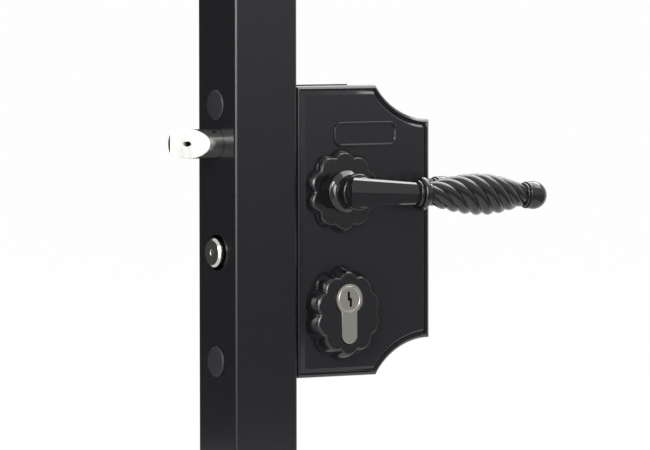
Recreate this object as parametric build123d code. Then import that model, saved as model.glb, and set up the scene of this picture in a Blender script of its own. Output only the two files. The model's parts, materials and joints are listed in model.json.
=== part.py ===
from build123d import *
import os
from math import atan2, ceil, cos, pi, radians, sin, sqrt, tan

# Gate lock on a square gate profile. Millimetres, +Z up.
# X runs from the profile towards the gate, Y from the front cover to the rear cover.
# The origin is the centre of the profile's lower end.
# Levels are measured from the lock's mid height, outreach from the profile's face.

# Gate profile
profile_side = 40.0
profile_wall = 2.0
profile_corner = 2.6
profile_length = 300.0
lock_height = 150.0

# Clearances, and how far a cutting body runs past a surface
running_gap = 0.05
fit_gap = 0.15
free_gap = 0.3
cut = 1.0

# Cover plates and their border
cover_gap = 0.7
cover_width = 87.8
cover_height = 160.0
cover_shoulder = 60.6
corner_radius = 42.0
cover_thickness = 5.0
edge_chamfer = 2.2
bead_drop = 0.6
groove_inset = 3.2
groove_wall = 0.8
groove_floor = 1.0
groove_depth = 1.8
panel_bevel = 2.0
cartouche_width = 41.3
cartouche_height = 13.8
cartouche_band = 1.5
cartouche_rise = 0.8
cartouche_corner = 5.0
cartouche_outreach = 45.1
cartouche_level = 53.1

# Case between the covers
case_depth = 26.0
case_inset = 3.2
case_wall = 3.0
mating_wall = 4.0
case_floor = 2.0
lid_thickness = 1.5
lid_ledge = 1.5

# Axes
backset = 28.9
handle_level = 22.0
cylinder_level = -37.0
latch_level = 49.0
dead_bolt_level = -10.5

# Fixing bolts through the profile, and the caps over them
fixing_inset = 10.0
fixing_diameter = 8.0
fixing_length = 30.0
fixing_head_diameter = 13.0
fixing_head_height = 8.0
fixing_head_chamfer = 0.8
fixing_socket = 6.0
fixing_socket_depth = 4.0
fixing_block_height = 16.0
fixing_block_length = 42.0
washer_diameter = 16.0
washer_thickness = 1.6
cap_diameter = 16.5
cap_rise = 1.4
cap_chamfer = 0.6
cap_stem_diameter = 14.6
cap_stem_length = 6.0
cap_wall = 1.4
cap_lip = 0.35

# Screws of the covers, lid and rosettes: outreach and level of one of each pair
cover_screw_diameter = 4.0
cover_screw_head = 8.0
cover_screw_bite = 3.0
cover_post_diameter = 10.0
cover_screw_inset = 11.0
cover_screw_at_block = (34.0, cover_height / 2 - cover_screw_inset)
cover_screw_at_post = (78.0, 34.0)
lid_screw_diameter = 3.0
lid_screw_head = 5.6
lid_screw_length = 7.0
lid_post_diameter = 8.0
lid_screw_inset = 14.0
lid_screw_at_block = (42.0, cover_height / 2 - lid_screw_inset)
lid_screw_at_post = (79.0, 14.0)
rosette_screw_diameter = 3.0
rosette_screw_head = 5.8
rosette_screw_length = 8.0
screw_socket_share = 0.6
screw_end_room = 0.4

# Rosettes
lobe_count = 10
lobe_depth = 0.085
handle_rosette_base = 46.0
handle_rosette_front = 41.7
handle_rosette_thickness = 5.0
handle_rosette_screw_offset = 15.5
cylinder_rosette_base_width = 47.0
cylinder_rosette_base_height = 52.6
cylinder_rosette_front_width = 40.4
cylinder_rosette_front_height = 46.4
cylinder_rosette_thickness = 8.6
cylinder_rosette_drop = 8.0
cylinder_rosette_screw_offset = 15.0
rosette_foot = 1.2
rosette_rim = 1.6
rosette_wall_share = 0.5

# Handle; the facets are shares of the arm's half depth and half height, front ridge first
spindle_side = 8.0
spindle_length = 70.0
spigot_diameter = 18.0
spigot_length = 4.0
bush_wall = 1.4
bush_seat = 0.5
hub_flange_diameter = 23.3
hub_flange_thickness = 2.0
neck_diameter = 16.8
neck_cove_length = 4.0
neck_cove_middle = 1.6
neck_bead_diameter = 20.3
neck_bead_plane = 36.0
neck_bead_thickness = 2.4
neck_end_plane = 41.5
neck_edge = 0.8
arm_root_plane = 40.5
arm_root_height = 15.4
arm_root_depth = 7.5
arm_end_height = 11.9
arm_end_depth = 10.4
arm_facets = ((-1.0, 0.0), (-0.62, 0.84), (-0.2, 1.0), (0.75, 1.0), (1.0, 0.7))
arm_overhang = 8.4
arm_corner = 5.0
grip_plane = 46.5
collar_start = 33.6
collar_bead_widths = (2.0, 3.6, 1.6)
collar_bead_diameters = (14.6, 18.3, 14.0)
collar_neck_diameter = 10.8
collar_neck_length = 1.7
collar_joint = 0.5
bead_crown = 0.35
grip_length = 60.2
grip_left_diameter = 12.7
grip_middle_diameter = 20.3
grip_right_diameter = 11.0
grip_middle_share = 0.6
grip_starts = 3
grip_lead = 21.6
grip_groove = 0.13
grip_step_angle = 40.0
end_ring_widths = (1.7, 1.7)
end_ring_diameters = (13.0, 14.0)
ball_diameter = 14.4
ball_showing = 0.62
handle_droop = 2.0
handle_travel = 42.0
handle_screw_diameter = 5.0
handle_screw_length = 4.0
handle_screw_plane = 29.0

# Follower and the latch that it draws
follower_diameter = 20.0
follower_trunnion = 14.0
follower_arm_thickness = 6.0
follower_arm_reach = 28.0
follower_tip_diameter = 7.0
follower_arm_width = 4.4
follower_root_width = 10.0
spring_arm_reach = 15.0
spring_arm_width = 6.0
bolt_diameter = 16.0
latch_reach = 26.0
latch_inside = 8.0
nose_flat = 2.2
nose_angle = 39.0
key_hole_diameter = 3.8
key_hole_depth = 22.0
tail_thickness = 4.0
bolt_slot_length = 10.0
bolt_pin_diameter = 4.0
bolt_pin_length = 14.0
latch_tail_top = 8.0
latch_tail_bottom = 7.0
latch_notch_top = 5.2
latch_notch_flare_level = 1.5
latch_notch_flare = 2.2
latch_shoulder = 3.8
latch_rod_height = 5.0
latch_rod_overlap = 2.0
rib_outreach = 56.0
rib_thickness = 3.0
rib_height = 17.0

# Springs
spring_end_gap = 0.1
latch_spring_wire = 1.2
latch_spring_diameter = 10.2
latch_spring_turns = 6
handle_spring_wire = 1.1
handle_spring_diameter = 7.0
handle_spring_turns = 7
spring_pin_diameter = 3.6
spring_pin_length = 16.0
spring_pin_seat = 2.6

# Dead bolt
dead_bolt_reach = 3.3
dead_bolt_inside = 30.0
dead_bolt_throw = 20.0
dead_bolt_rim = 1.2
dead_bolt_centre_hole = 3.0
dead_bolt_centre_depth = 5.0
dead_bolt_hole = 19.6
latch_hole = 16.8
dead_slot_length = 16.5
dead_pin_offset = 11.0
dead_tail_half_height = 5.0
dead_tail_end = 68.0
leg_drop = 16.0
left_leg_width = 3.2
right_leg_width = 5.0
guide_pin_diameter = 5.0
guide_pin_outreach = 38.0
guide_pin_seat = 1.5
detent_outreach = 44.0
detent_depth = 1.5
detent_half_width = 3.0
leaf_thickness = 0.6
leaf_width = 6.0
leaf_dip = 0.3
leaf_lift = 0.7
leaf_straight = 3.0
lug_outreach = 72.0
lug_length = 6.0
lug_slot_length = 4.5
lug_height = 8.0
lug_level = -0.5

# Bolt guide bushes
bolt_bush_wall = 2.0
bolt_bush_sleeve = 14.0
bolt_bush_flange = 23.0
bolt_bush_flange_thickness = 1.5

# Profile cylinder
cylinder_length = 54.0
cylinder_round = 17.0
cylinder_height = 33.0
cylinder_stem = 10.0
cylinder_clearance = 0.4
cam_gap_width = 10.4
cam_gap_drop = 15.6
cam_width = 9.6
cam_radius = 15.0
cam_lobe_width = 7.0
cam_ring_diameter = 15.4
plug_diameter = 13.0
plug_face_diameter = 14.6
plug_face_thickness = 1.4
plug_proud = 0.4
plug_rim_width = 0.9
plug_rim_depth = 0.35
plug_joint = 0.5
plug_journal_diameter = 10.0
keyway_height = 8.4
keyway_width = 1.5
keyway_step = 1.3
keyway_depth = 24.0
cylinder_screw_diameter = 5.0
cylinder_screw_head = 9.2
cylinder_screw_drop = 20.0
cylinder_screw_length = 33.0

# Sizes that follow
face_x = profile_side / 2
cover_right = face_x + cover_gap + cover_width
fixing_level = cover_height / 2 - fixing_inset
half_case = case_depth / 2
front_plane = half_case + cover_thickness
floor_inside = half_case - case_floor
lid_inside = half_case - lid_thickness
inner_face_x = face_x + mating_wall
handle_x = face_x + backset
rosette_plane = front_plane + handle_rosette_thickness
rosette_level = cylinder_level - cylinder_rosette_drop
half_cylinder = cylinder_length / 2
bolt_radius = bolt_diameter / 2
bush_diameter = bolt_diameter + 2 * bolt_bush_wall
handle_bush_diameter = spigot_diameter + 2 * bush_wall
half_travel = radians(handle_travel / 2)
spring_level = handle_level - spring_arm_reach * cos(half_travel)
follower_tip_x = handle_x - follower_arm_reach * sin(half_travel)
latch_end_x = face_x + latch_inside
latch_pin_x = latch_end_x - bolt_slot_length / 2
latch_notch = follower_tip_diameter / 2 + free_gap
latch_shoulder_x = follower_tip_x + latch_notch + latch_shoulder
dead_end_x = face_x + dead_bolt_inside
dead_pin_x = dead_end_x - dead_pin_offset
guide_pin_x = face_x + guide_pin_outreach
cover_screw_length = front_plane + half_case + cover_screw_bite - free_gap
grip_start = collar_start + sum(collar_bead_widths) + collar_neck_length


def facing_front(plane, level=0.0, x=0.0):
    """Sketch plane in front of the lock's middle: its x is X and its y is Z."""
    return Plane(origin=(x, -plane, lock_height + level), x_dir=(1, 0, 0), z_dir=(0, -1, 0))


def slab(sketch, y_start, y_end, level=0.0, x=0.0):
    """Straight body of a sketch between two depths."""
    return extrude(facing_front(-y_end, level, x) * sketch, amount=y_end - y_start)


def rod_x(diameter, x_start, x_end, level, y=0.0):
    place = Pos((x_start + x_end) / 2, y, lock_height + level)
    return place * Rot(0, 90, 0) * Cylinder(diameter / 2, x_end - x_start)


def rod_y(diameter, y_start, y_end, x, level):
    place = Pos(x, (y_start + y_end) / 2, lock_height + level)
    return place * Rot(90, 0, 0) * Cylinder(diameter / 2, y_end - y_start)


def block(x_start, x_end, y_start, y_end, level_start, level_end):
    middle = Pos((x_start + x_end) / 2, (y_start + y_end) / 2, lock_height + (level_start + level_end) / 2)
    return middle * Box(x_end - x_start, y_end - y_start, level_end - level_start)


def outline(*points):
    """Closed face through points, with straight sides."""
    return make_face(Polyline(*points, close=True))


def closed_face(*lines):
    """Face inside a closed run of lines and arcs."""
    return make_face([edge for line in lines for edge in line.edges()])


def both(level):
    return (level, -level)


def group(shapes):
    """Separate solids kept together as one node."""
    solids = []
    for shape in shapes:
        solids.extend(shape.solids())
    return Compound(solids)


def to_rear(shape):
    return mirror(shape, about=Plane.XZ)


def plate_outline(inset, left_x):
    """Cover outline moved inwards: straight sides and two concave corners on the gate side."""
    top = cover_height / 2 - inset
    right = cover_right - inset
    radius = corner_radius + inset
    centre = cover_shoulder + corner_radius
    start_x = cover_right - sqrt(radius**2 - (centre - top) ** 2)
    end_level = centre - sqrt(radius**2 - inset**2)
    start_angle = atan2(top - centre, start_x - cover_right)
    end_angle = atan2(end_level - centre, right - cover_right)
    middle = (start_angle + end_angle) / 2
    middle_x = cover_right + radius * cos(middle)
    middle_level = centre + radius * sin(middle)
    edges = [
        Line((left_x, -top), (left_x, top)),
        Line((left_x, top), (start_x, top)),
        ThreePointArc((start_x, top), (middle_x, middle_level), (right, end_level)),
        Line((right, end_level), (right, -end_level)),
        ThreePointArc((right, -end_level), (middle_x, -middle_level), (start_x, -top)),
        Line((start_x, -top), (left_x, -top)),
    ]
    return make_face(edges)


def cover_outline(inset):
    return plate_outline(inset, face_x + cover_gap + inset)


def case_outline(wall, left_wall):
    return plate_outline(case_inset + wall, face_x + left_wall)


def tapered(low, low_plane, high, high_plane, level=0.0, x=0.0):
    """Straight-sided taper between two outlines of the same kind, towards the front."""
    low_face = facing_front(low_plane, level, x) * low
    high_face = facing_front(high_plane, level, x) * high
    return loft([low_face, high_face], ruled=True)


def profile_outline(clearance):
    """Cylinder profile: a round top with a narrower round-ended stem below it."""
    stem_end = cylinder_height - cylinder_round / 2 - cylinder_stem / 2
    stem = Pos(0, -stem_end / 2) * Rectangle(cylinder_stem + 2 * clearance, stem_end)
    foot = Pos(0, -stem_end) * Circle(cylinder_stem / 2 + clearance)
    return Circle(cylinder_round / 2 + clearance) + stem + foot


def lobed_outline(width, height, lobes, depth, turn):
    """Closed ring of equal round lobes, the first at the given angle."""
    step = 2 * pi / lobes

    def at(angle, share):
        return (share * width / 2 * cos(angle), share * height / 2 * sin(angle))

    arcs = []
    for number in range(lobes):
        crest = turn + number * step
        start = at(crest - step / 2, 1 - depth)
        end = at(crest + step / 2, 1 - depth)
        arcs.append(ThreePointArc(start, at(crest, 1.0), end))
    return make_face(arcs)


def countersunk_screw(diameter, head, length):
    """Screw along +Z with its flat head at the origin and a six-sided socket."""
    cone = (head - diameter) / 2
    half = outline((0, 0), (head / 2, 0), (diameter / 2, cone), (diameter / 2, length), (0, length))
    socket = RegularPolygon(screw_socket_share * diameter / 2, 6, major_radius=False)
    return revolve(Plane.XZ * half, Axis.Z) - extrude(socket, amount=cone)


def screw_room(diameter, head, length, gap):
    """Countersunk hole for a screw along +Z from the origin."""
    radius = diameter / 2 + gap
    mouth = head / 2 + gap
    cone = (head - diameter) / 2
    points = ((0, -cut), (mouth, -cut), (mouth, 0), (radius, cone), (radius, length), (0, length))
    return revolve(Plane.XZ * outline(*points), Axis.Z)


def pointing_front(shape, x, y, level):
    """Turn a shape made along +Z so that it runs from (x, y, level) towards the front."""
    return Pos(x, y, lock_height + level) * Rot(90, 0, 0) * shape


def paired_places(*places):
    """Each place and its like below mid height, as X and level."""
    return [(face_x + outreach, side) for outreach, level in places for side in both(level)]


def cover_screw_places():
    return paired_places(cover_screw_at_block, cover_screw_at_post)


def lid_screw_places():
    return paired_places(lid_screw_at_block, lid_screw_at_post)


def handle_rosette_screw_places():
    return [(handle_x, handle_level + side) for side in both(handle_rosette_screw_offset)]


def cylinder_rosette_screw_places():
    return [(handle_x + side, rosette_level) for side in both(cylinder_rosette_screw_offset)]


def gate_profile():
    inner_side = profile_side - 2 * profile_wall
    section = RectangleRounded(profile_side, profile_side, profile_corner)
    section -= RectangleRounded(inner_side, inner_side, max(profile_corner - profile_wall, free_gap))
    tube = extrude(section, amount=profile_length)
    outer_wall = (-face_x - cut, -face_x + profile_wall + cut)
    inner_wall = (face_x - profile_wall - cut, face_x + cut)
    for level in both(fixing_level):
        tube -= rod_x(cap_stem_diameter + 2 * fit_gap, *outer_wall, level)
        tube -= rod_x(fixing_diameter + 2 * fit_gap, *inner_wall, level)
    tube -= rod_x(latch_hole, *outer_wall, latch_level)
    tube -= rod_x(dead_bolt_hole, *outer_wall, dead_bolt_level)
    for level in (latch_level, dead_bolt_level):
        tube -= rod_x(bush_diameter + 2 * fit_gap, *inner_wall, level)
    return tube


def profile_cap(level):
    """Plastic cap: a chamfered disc with a hollow stem that snaps behind the profile's wall."""
    head = rod_x(cap_diameter, -face_x - cap_rise, -face_x, level)
    head = chamfer(head.edges().sort_by(Axis.X)[:1], cap_chamfer)
    stem_end = -face_x + cap_stem_length
    lip_start = -face_x + profile_wall + fit_gap
    stem = rod_x(cap_stem_diameter, -face_x, stem_end, level)
    stem += rod_x(cap_stem_diameter + 2 * cap_lip, lip_start, lip_start + cap_wall, level)
    return head + stem - rod_x(cap_stem_diameter - 2 * cap_wall, -face_x, stem_end, level)


def fixing_bolt(level):
    head_end = face_x - profile_wall - washer_thickness
    head_start = head_end - fixing_head_height
    head = rod_x(fixing_head_diameter, head_start, head_end, level)
    head = chamfer(head.edges().sort_by(Axis.X)[:1], fixing_head_chamfer)
    shank = rod_x(fixing_diameter, head_end, head_end + fixing_length, level)
    socket_plane = Plane(origin=(head_start, 0, lock_height + level), z_dir=(1, 0, 0))
    socket = RegularPolygon(fixing_socket / 2, 6, major_radius=False)
    return head + shank - extrude(socket_plane * socket, amount=fixing_socket_depth)


def fixing_washer(level):
    end = face_x - profile_wall
    ring = rod_x(washer_diameter, end - washer_thickness, end, level)
    return ring - rod_x(fixing_diameter + 2 * fit_gap, end - washer_thickness, end, level)


def case_posts():
    """Solid blocks and posts that take the fixing, cover and lid screws."""
    depth = (-floor_inside - cut, lid_inside)
    block_start = fixing_level - fixing_block_height / 2
    block_end = cover_height / 2 - case_inset - case_wall / 2
    block_x = (face_x + mating_wall / 2, inner_face_x + fixing_block_length)
    parts = [
        block(*block_x, *depth, block_start, block_end),
        block(*block_x, *depth, -block_end, -block_start),
    ]
    posts = ((cover_post_diameter, cover_screw_at_post), (lid_post_diameter, lid_screw_at_post))
    for diameter, place in posts:
        for x, level in paired_places(place):
            parts.append(rod_y(diameter, *depth, x, level))
    return parts


def latch_rib():
    """Wall across the case that guides the latch rod and carries its spring."""
    start = face_x + rib_outreach
    end = start + rib_thickness
    low = latch_level - rib_height / 2
    rib = block(start, end, -floor_inside - cut, lid_inside, low, low + rib_height)
    half_width = tail_thickness / 2 + fit_gap
    half_height = latch_rod_height / 2 + fit_gap
    return rib - block(start - cut, end + cut, -half_width, lid_inside + cut,
                       latch_level - half_height, latch_level + half_height)


def leaf_lug():
    """Block that clamps the fixed end of the leaf spring."""
    start = face_x + lug_outreach
    half_slot = leaf_thickness / 2 + running_gap
    half_width = leaf_width / 2
    lug = block(start, start + lug_length, -floor_inside - cut, half_width,
                lug_level - lug_height / 2, lug_level + lug_height / 2)
    return lug - block(start - cut, start + lug_slot_length, -half_width - running_gap, half_width + cut,
                       lug_level - half_slot, lug_level + half_slot)


def lock_case():
    """Cast tray, open to the rear, with the seats and holes of all that it carries."""
    body = slab(case_outline(0.0, 0.0), -half_case, half_case)
    body -= slab(case_outline(case_wall, mating_wall), -floor_inside, half_case + cut)
    body -= slab(case_outline(case_wall - lid_ledge, mating_wall - lid_ledge), lid_inside, half_case + cut)
    for part in case_posts() + [latch_rib(), leaf_lug()]:
        body += part
    wall = (face_x - cut, inner_face_x + cut)
    flange_seat = (face_x - cut, face_x + bolt_bush_flange_thickness)
    for level in (latch_level, dead_bolt_level):
        body -= rod_x(bush_diameter + 2 * running_gap, *wall, level)
        body -= rod_x(bolt_bush_flange + 2 * running_gap, *flange_seat, level)
    for level in both(fixing_level):
        body -= rod_x(fixing_diameter + 2 * running_gap, face_x - cut, face_x + fixing_length, level)
    body -= cylinder_screw_place() * screw_room(
        cylinder_screw_diameter, cylinder_screw_head, mating_wall + cut, running_gap)
    floor = (-half_case - cut, -floor_inside + cut)
    body -= slab(profile_outline(cylinder_clearance), *floor, cylinder_level, handle_x)
    body -= rod_y(follower_trunnion + 2 * running_gap, *floor, handle_x, handle_level)
    for x, level in cover_screw_places():
        body -= rod_y(cover_screw_diameter + 2 * fit_gap, -half_case - cut, half_case, x, level)
    lid_hole_end = half_case - lid_screw_length - screw_end_room
    for x, level in lid_screw_places():
        body -= rod_y(lid_screw_diameter + 2 * running_gap, lid_hole_end, half_case, x, level)
    body -= rod_y(guide_pin_diameter + 2 * running_gap, -floor_inside - guide_pin_seat,
                  -floor_inside + cut, guide_pin_x, dead_bolt_level)
    body -= rod_x(spring_pin_diameter + 2 * running_gap, inner_face_x - spring_pin_seat,
                  inner_face_x + cut, spring_level)
    return body


def lock_case_lid():
    """Sheet lid that drops into the case's ledge, countersunk for its screws."""
    ledge = lid_ledge - fit_gap
    lid = slab(case_outline(case_wall - ledge, mating_wall - ledge), lid_inside, half_case)
    through = (lid_inside - cut, half_case + cut)
    lid -= rod_y(follower_trunnion + 2 * running_gap, *through, handle_x, handle_level)
    lid -= slab(profile_outline(cylinder_clearance), *through, cylinder_level, handle_x)
    for x, level in cover_screw_places():
        lid -= rod_y(cover_screw_diameter + 2 * fit_gap, *through, x, level)
    room = screw_room(lid_screw_diameter, lid_screw_head, lid_screw_length, running_gap)
    for x, level in lid_screw_places():
        lid -= pointing_front(room, x, half_case, level)
    return lid


def lid_screws():
    screw = countersunk_screw(lid_screw_diameter, lid_screw_head, lid_screw_length)
    return group(pointing_front(screw, x, half_case, level) for x, level in lid_screw_places())


def cover_step(low_inset, low_plane, high_inset, high_plane):
    """Sloping step of the cover's border between two insets and two depths."""
    return tapered(cover_outline(low_inset), low_plane, cover_outline(high_inset), high_plane)


def cover_blank():
    """Cover casting, drawn as the front one: chamfered edge, bead, groove and raised panel."""
    bead_plane = front_plane - bead_drop
    edge_plane = bead_plane - edge_chamfer
    groove_plane = bead_plane - groove_depth
    panel_start = groove_inset + groove_floor
    cover = slab(cover_outline(0.0), -edge_plane, -half_case)
    cover += cover_step(0.0, edge_plane, edge_chamfer, bead_plane)
    cover -= cover_step(groove_inset, groove_plane, groove_inset - groove_wall, bead_plane)
    cover += cover_step(panel_start, groove_plane, panel_start + panel_bevel, front_plane)
    return cover


def cartouche():
    """Plain raised frame; its field stays bare."""
    inner_width = cartouche_width - 2 * cartouche_band
    inner_height = cartouche_height - 2 * cartouche_band
    frame = RectangleRounded(cartouche_width, cartouche_height, cartouche_corner)
    frame -= RectangleRounded(inner_width, inner_height, cartouche_corner - cartouche_band)
    place = (cartouche_level, face_x + cartouche_outreach)
    return slab(frame, -front_plane - cartouche_rise, -front_plane, *place)


def cover_with_openings():
    """Cover with the holes that both covers share."""
    cover = cover_blank() + cartouche()
    through = (-front_plane - cut, -half_case + cut)
    cover -= rod_y(handle_bush_diameter - 2 * bush_seat, *through, handle_x, handle_level)
    cover -= slab(profile_outline(cylinder_clearance), *through, cylinder_level, handle_x)
    room = screw_room(rosette_screw_diameter, rosette_screw_head, rosette_screw_length, running_gap)
    for x, level in handle_rosette_screw_places() + cylinder_rosette_screw_places():
        cover -= pointing_front(room, x, -half_case, level)
    return cover


def front_cover():
    cover = cover_with_openings()
    for x, level in cover_screw_places():
        cover -= rod_y(cover_screw_diameter + 2 * running_gap, -half_case - cover_screw_bite,
                       -half_case + cut, x, level)
    return cover


def rear_cover():
    cover = to_rear(cover_with_openings())
    room = screw_room(cover_screw_diameter, cover_screw_head, cover_screw_length, fit_gap)
    for x, level in cover_screw_places():
        cover -= pointing_front(room, x, front_plane, level)
    return cover


def cover_screws():
    screw = countersunk_screw(cover_screw_diameter, cover_screw_head, cover_screw_length)
    return group(pointing_front(screw, x, front_plane, level) for x, level in cover_screw_places())


def rosette_blank(base, face, thickness, level):
    """Scalloped boss: an upright foot, a tapering wall and a turned-in rim."""
    foot_plane = front_plane + rosette_foot
    rim_plane = front_plane + thickness - rosette_rim
    face_plane = front_plane + thickness
    rim = [wide - rosette_wall_share * (wide - narrow) for wide, narrow in zip(base, face)]
    low, middle, high = [lobed_outline(*size, lobe_count, lobe_depth, pi / 2) for size in (base, rim, face)]
    body = slab(low, -foot_plane, -front_plane, level, handle_x)
    body += tapered(low, foot_plane, middle, rim_plane, level, handle_x)
    return body + tapered(middle, rim_plane, high, face_plane, level, handle_x)


def with_screw_holes(body, places):
    """Rosette with blind holes from behind for its screws."""
    end = -half_case - rosette_screw_length - screw_end_room
    for x, level in places:
        body -= rod_y(rosette_screw_diameter + 2 * running_gap, end, -front_plane + cut, x, level)
    return body


def front_handle_rosette():
    base = (handle_rosette_base, handle_rosette_base)
    face = (handle_rosette_front, handle_rosette_front)
    body = rosette_blank(base, face, handle_rosette_thickness, handle_level)
    body -= rod_y(handle_bush_diameter + 2 * running_gap, -rosette_plane - cut, -front_plane + cut,
                  handle_x, handle_level)
    return with_screw_holes(body, handle_rosette_screw_places())


def front_cylinder_rosette():
    base = (cylinder_rosette_base_width, cylinder_rosette_base_height)
    face = (cylinder_rosette_front_width, cylinder_rosette_front_height)
    body = rosette_blank(base, face, cylinder_rosette_thickness, rosette_level)
    body -= slab(profile_outline(cylinder_clearance), -front_plane - cylinder_rosette_thickness - cut,
                 -front_plane + cut, cylinder_level, handle_x)
    return with_screw_holes(body, cylinder_rosette_screw_places())


def rosette_screws():
    screw = countersunk_screw(rosette_screw_diameter, rosette_screw_head, rosette_screw_length)
    places = handle_rosette_screw_places() + cylinder_rosette_screw_places()
    front = [pointing_front(screw, x, -half_case, level) for x, level in places]
    return group(front + [to_rear(shape) for shape in front])


def handle_bush():
    """Plastic bearing of the handle's spigot in the rosette."""
    length = (-rosette_plane, -front_plane)
    outer = rod_y(handle_bush_diameter, *length, handle_x, handle_level)
    return outer - rod_y(spigot_diameter + 2 * running_gap, *length, handle_x, handle_level)


def spindle_socket(y_start, y_end):
    """Square hole for the spindle."""
    side = spindle_side + 2 * running_gap
    return slab(Rectangle(side, side), y_start, y_end, handle_level, handle_x)


def handle_neck():
    """Turned neck: spigot, flange, cove, waist, bead and the round end that carries the arm."""
    spigot = spigot_diameter / 2
    flange = hub_flange_diameter / 2
    waist = neck_diameter / 2
    bead = neck_bead_diameter / 2
    spigot_back = rosette_plane - spigot_length
    flange_back = rosette_plane + free_gap
    flange_front = flange_back + hub_flange_thickness
    cove_end = flange_front + neck_cove_length
    bead_back = neck_bead_plane - neck_bead_thickness / 2
    bead_front = neck_bead_plane + neck_bead_thickness / 2
    core = Polyline(
        (waist, bead_front),
        (waist, neck_end_plane - neck_edge),
        (waist - neck_edge, neck_end_plane),
        (0, neck_end_plane),
        (0, spigot_back),
        (spigot, spigot_back),
        (spigot, flange_back),
        (flange, flange_back),
        (flange, flange_front - neck_edge),
        (flange - neck_edge, flange_front),
    )
    cove = ThreePointArc(
        (flange - neck_edge, flange_front),
        (waist + neck_edge, flange_front + neck_cove_middle),
        (waist, cove_end),
    )
    shank = Polyline((waist, cove_end), (waist, bead_back - neck_edge), (bead - neck_edge, bead_back))
    crown = ThreePointArc(
        (bead - neck_edge, bead_back),
        (bead, neck_bead_plane),
        (bead - neck_edge, bead_front),
    )
    step = Line((bead - neck_edge, bead_front), (waist, bead_front))
    return Rot(0, 0, 180) * revolve(closed_face(core, cove, shank, crown, step), Axis.Y)


def arm_section(height, depth):
    """Faceted section: two facets that meet in a ridge at the front, chamfers and a flat back."""
    upper = [(depth / 2 * across, height / 2 * up) for across, up in arm_facets]
    lower = [(across, -up) for across, up in reversed(upper[1:])]
    return outline(*upper, *lower)


def across_arm(reach, plane):
    """Sketch plane square to the arm: its x is Y and its y is Z."""
    return Plane(origin=(reach, -plane, 0), x_dir=(0, 1, 0), z_dir=(1, 0, 0))


def handle_arm():
    """Tapering faceted arm with a rounded left end, from the neck to the collar."""
    sections = []
    for reach in (-arm_overhang, collar_start + collar_joint):
        share = reach / collar_start
        height = arm_root_height + share * (arm_end_height - arm_root_height)
        depth = arm_root_depth + share * (arm_end_depth - arm_root_depth)
        plane = arm_root_plane + share * (grip_plane - arm_root_plane)
        sections.append(across_arm(reach, plane) * arm_section(height, depth))
    arm = loft(sections, ruled=True)
    length = 2 * collar_start
    end = RectangleRounded(length, arm_root_height + 2 * cut, arm_corner)
    end_plane = Plane(origin=(length / 2 - arm_overhang, 0, 0), x_dir=(1, 0, 0), z_dir=(0, -1, 0))
    return arm & extrude(end_plane * end, amount=front_plane + grip_plane)


def bead_rings(start, widths, diameters):
    """Rounded rings side by side on the grip's axis."""
    rings = []
    for width, diameter in zip(widths, diameters):
        end = start + width
        shoulder = diameter / 2 - bead_crown * width
        crown = ThreePointArc((start, shoulder), ((start + end) / 2, diameter / 2), (end, shoulder))
        sides = Polyline((end, shoulder), (end, 0), (start, 0), (start, shoulder))
        rings.append(revolve(closed_face(crown, sides), Axis.X))
        start = end
    return rings


def collar_neck():
    """Thin neck between the collar's rings and the grip."""
    length = collar_neck_length + 2 * collar_joint
    middle = Pos(grip_start - collar_neck_length / 2, 0, 0)
    return middle * Rot(0, 90, 0) * Cylinder(collar_neck_diameter / 2, length)


def grip_diameter(share):
    """Envelope of the twisted grip along its length."""
    if share < grip_middle_share:
        rise = sin(pi / 2 * share / grip_middle_share)
        return grip_left_diameter + (grip_middle_diameter - grip_left_diameter) * rise
    fall = cos(pi / 2 * (share - grip_middle_share) / (1 - grip_middle_share))
    return grip_right_diameter + (grip_middle_diameter - grip_right_diameter) * fall


def twisted_grip():
    """Barrel-shaped grip whose lobes wind round it like a rope."""
    count = ceil(grip_length / grip_lead * 360 / grip_step_angle)
    sections = []
    for number in range(count + 1):
        share = number / count
        reach = share * grip_length
        diameter = grip_diameter(share)
        turn = 2 * pi * reach / grip_lead
        section = lobed_outline(diameter, diameter, grip_starts, grip_groove, turn)
        sections.append(across_arm(grip_start + reach, 0) * section)
    return loft(sections)


def grip_ball():
    """Ball at the far end, cut flat where it meets the last ring."""
    radius = ball_diameter / 2
    start = grip_start + grip_length + sum(end_ring_widths)
    ball = Pos(start + radius * ball_showing, 0, 0) * Sphere(radius)
    return ball - Pos(start - radius, 0, 0) * Box(2 * radius, 2 * ball_diameter, 2 * ball_diameter)


def front_handle():
    """Lever: turned neck, faceted arm, collar, twisted grip and ball end, in one casting."""
    lever = handle_arm()
    pieces = bead_rings(collar_start, collar_bead_widths, collar_bead_diameters)
    pieces += [collar_neck(), twisted_grip()]
    pieces += bead_rings(grip_start + grip_length, end_ring_widths, end_ring_diameters)
    pieces += [grip_ball()]
    for piece in pieces:
        lever += Pos(0, -grip_plane, 0) * piece
    handle = handle_neck() + Rot(0, handle_droop, 0) * lever
    handle = Pos(handle_x, 0, lock_height + handle_level) * handle
    handle -= spindle_socket(-spindle_length / 2 - free_gap, 0)
    screw_place = Pos(handle_x, -handle_screw_plane, lock_height + handle_level - neck_diameter / 2)
    screw_hole = Cylinder(handle_screw_diameter / 2 + running_gap, neck_diameter - spindle_side)
    return handle - screw_place * screw_hole


def handle_screw():
    """Grub screw under the neck that bites on the spindle."""
    middle = handle_level - spindle_side / 2 - running_gap - handle_screw_length / 2
    socket = RegularPolygon(screw_socket_share * handle_screw_diameter / 2, 6, major_radius=False)
    screw = Cylinder(handle_screw_diameter / 2, handle_screw_length)
    screw -= Pos(0, 0, -handle_screw_length / 2) * extrude(socket, amount=handle_screw_length / 2)
    return Pos(handle_x, -handle_screw_plane, lock_height + middle) * screw


def spindle():
    bar = Rectangle(spindle_side, spindle_side)
    return slab(bar, -spindle_length / 2, spindle_length / 2, handle_level, handle_x)


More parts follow.
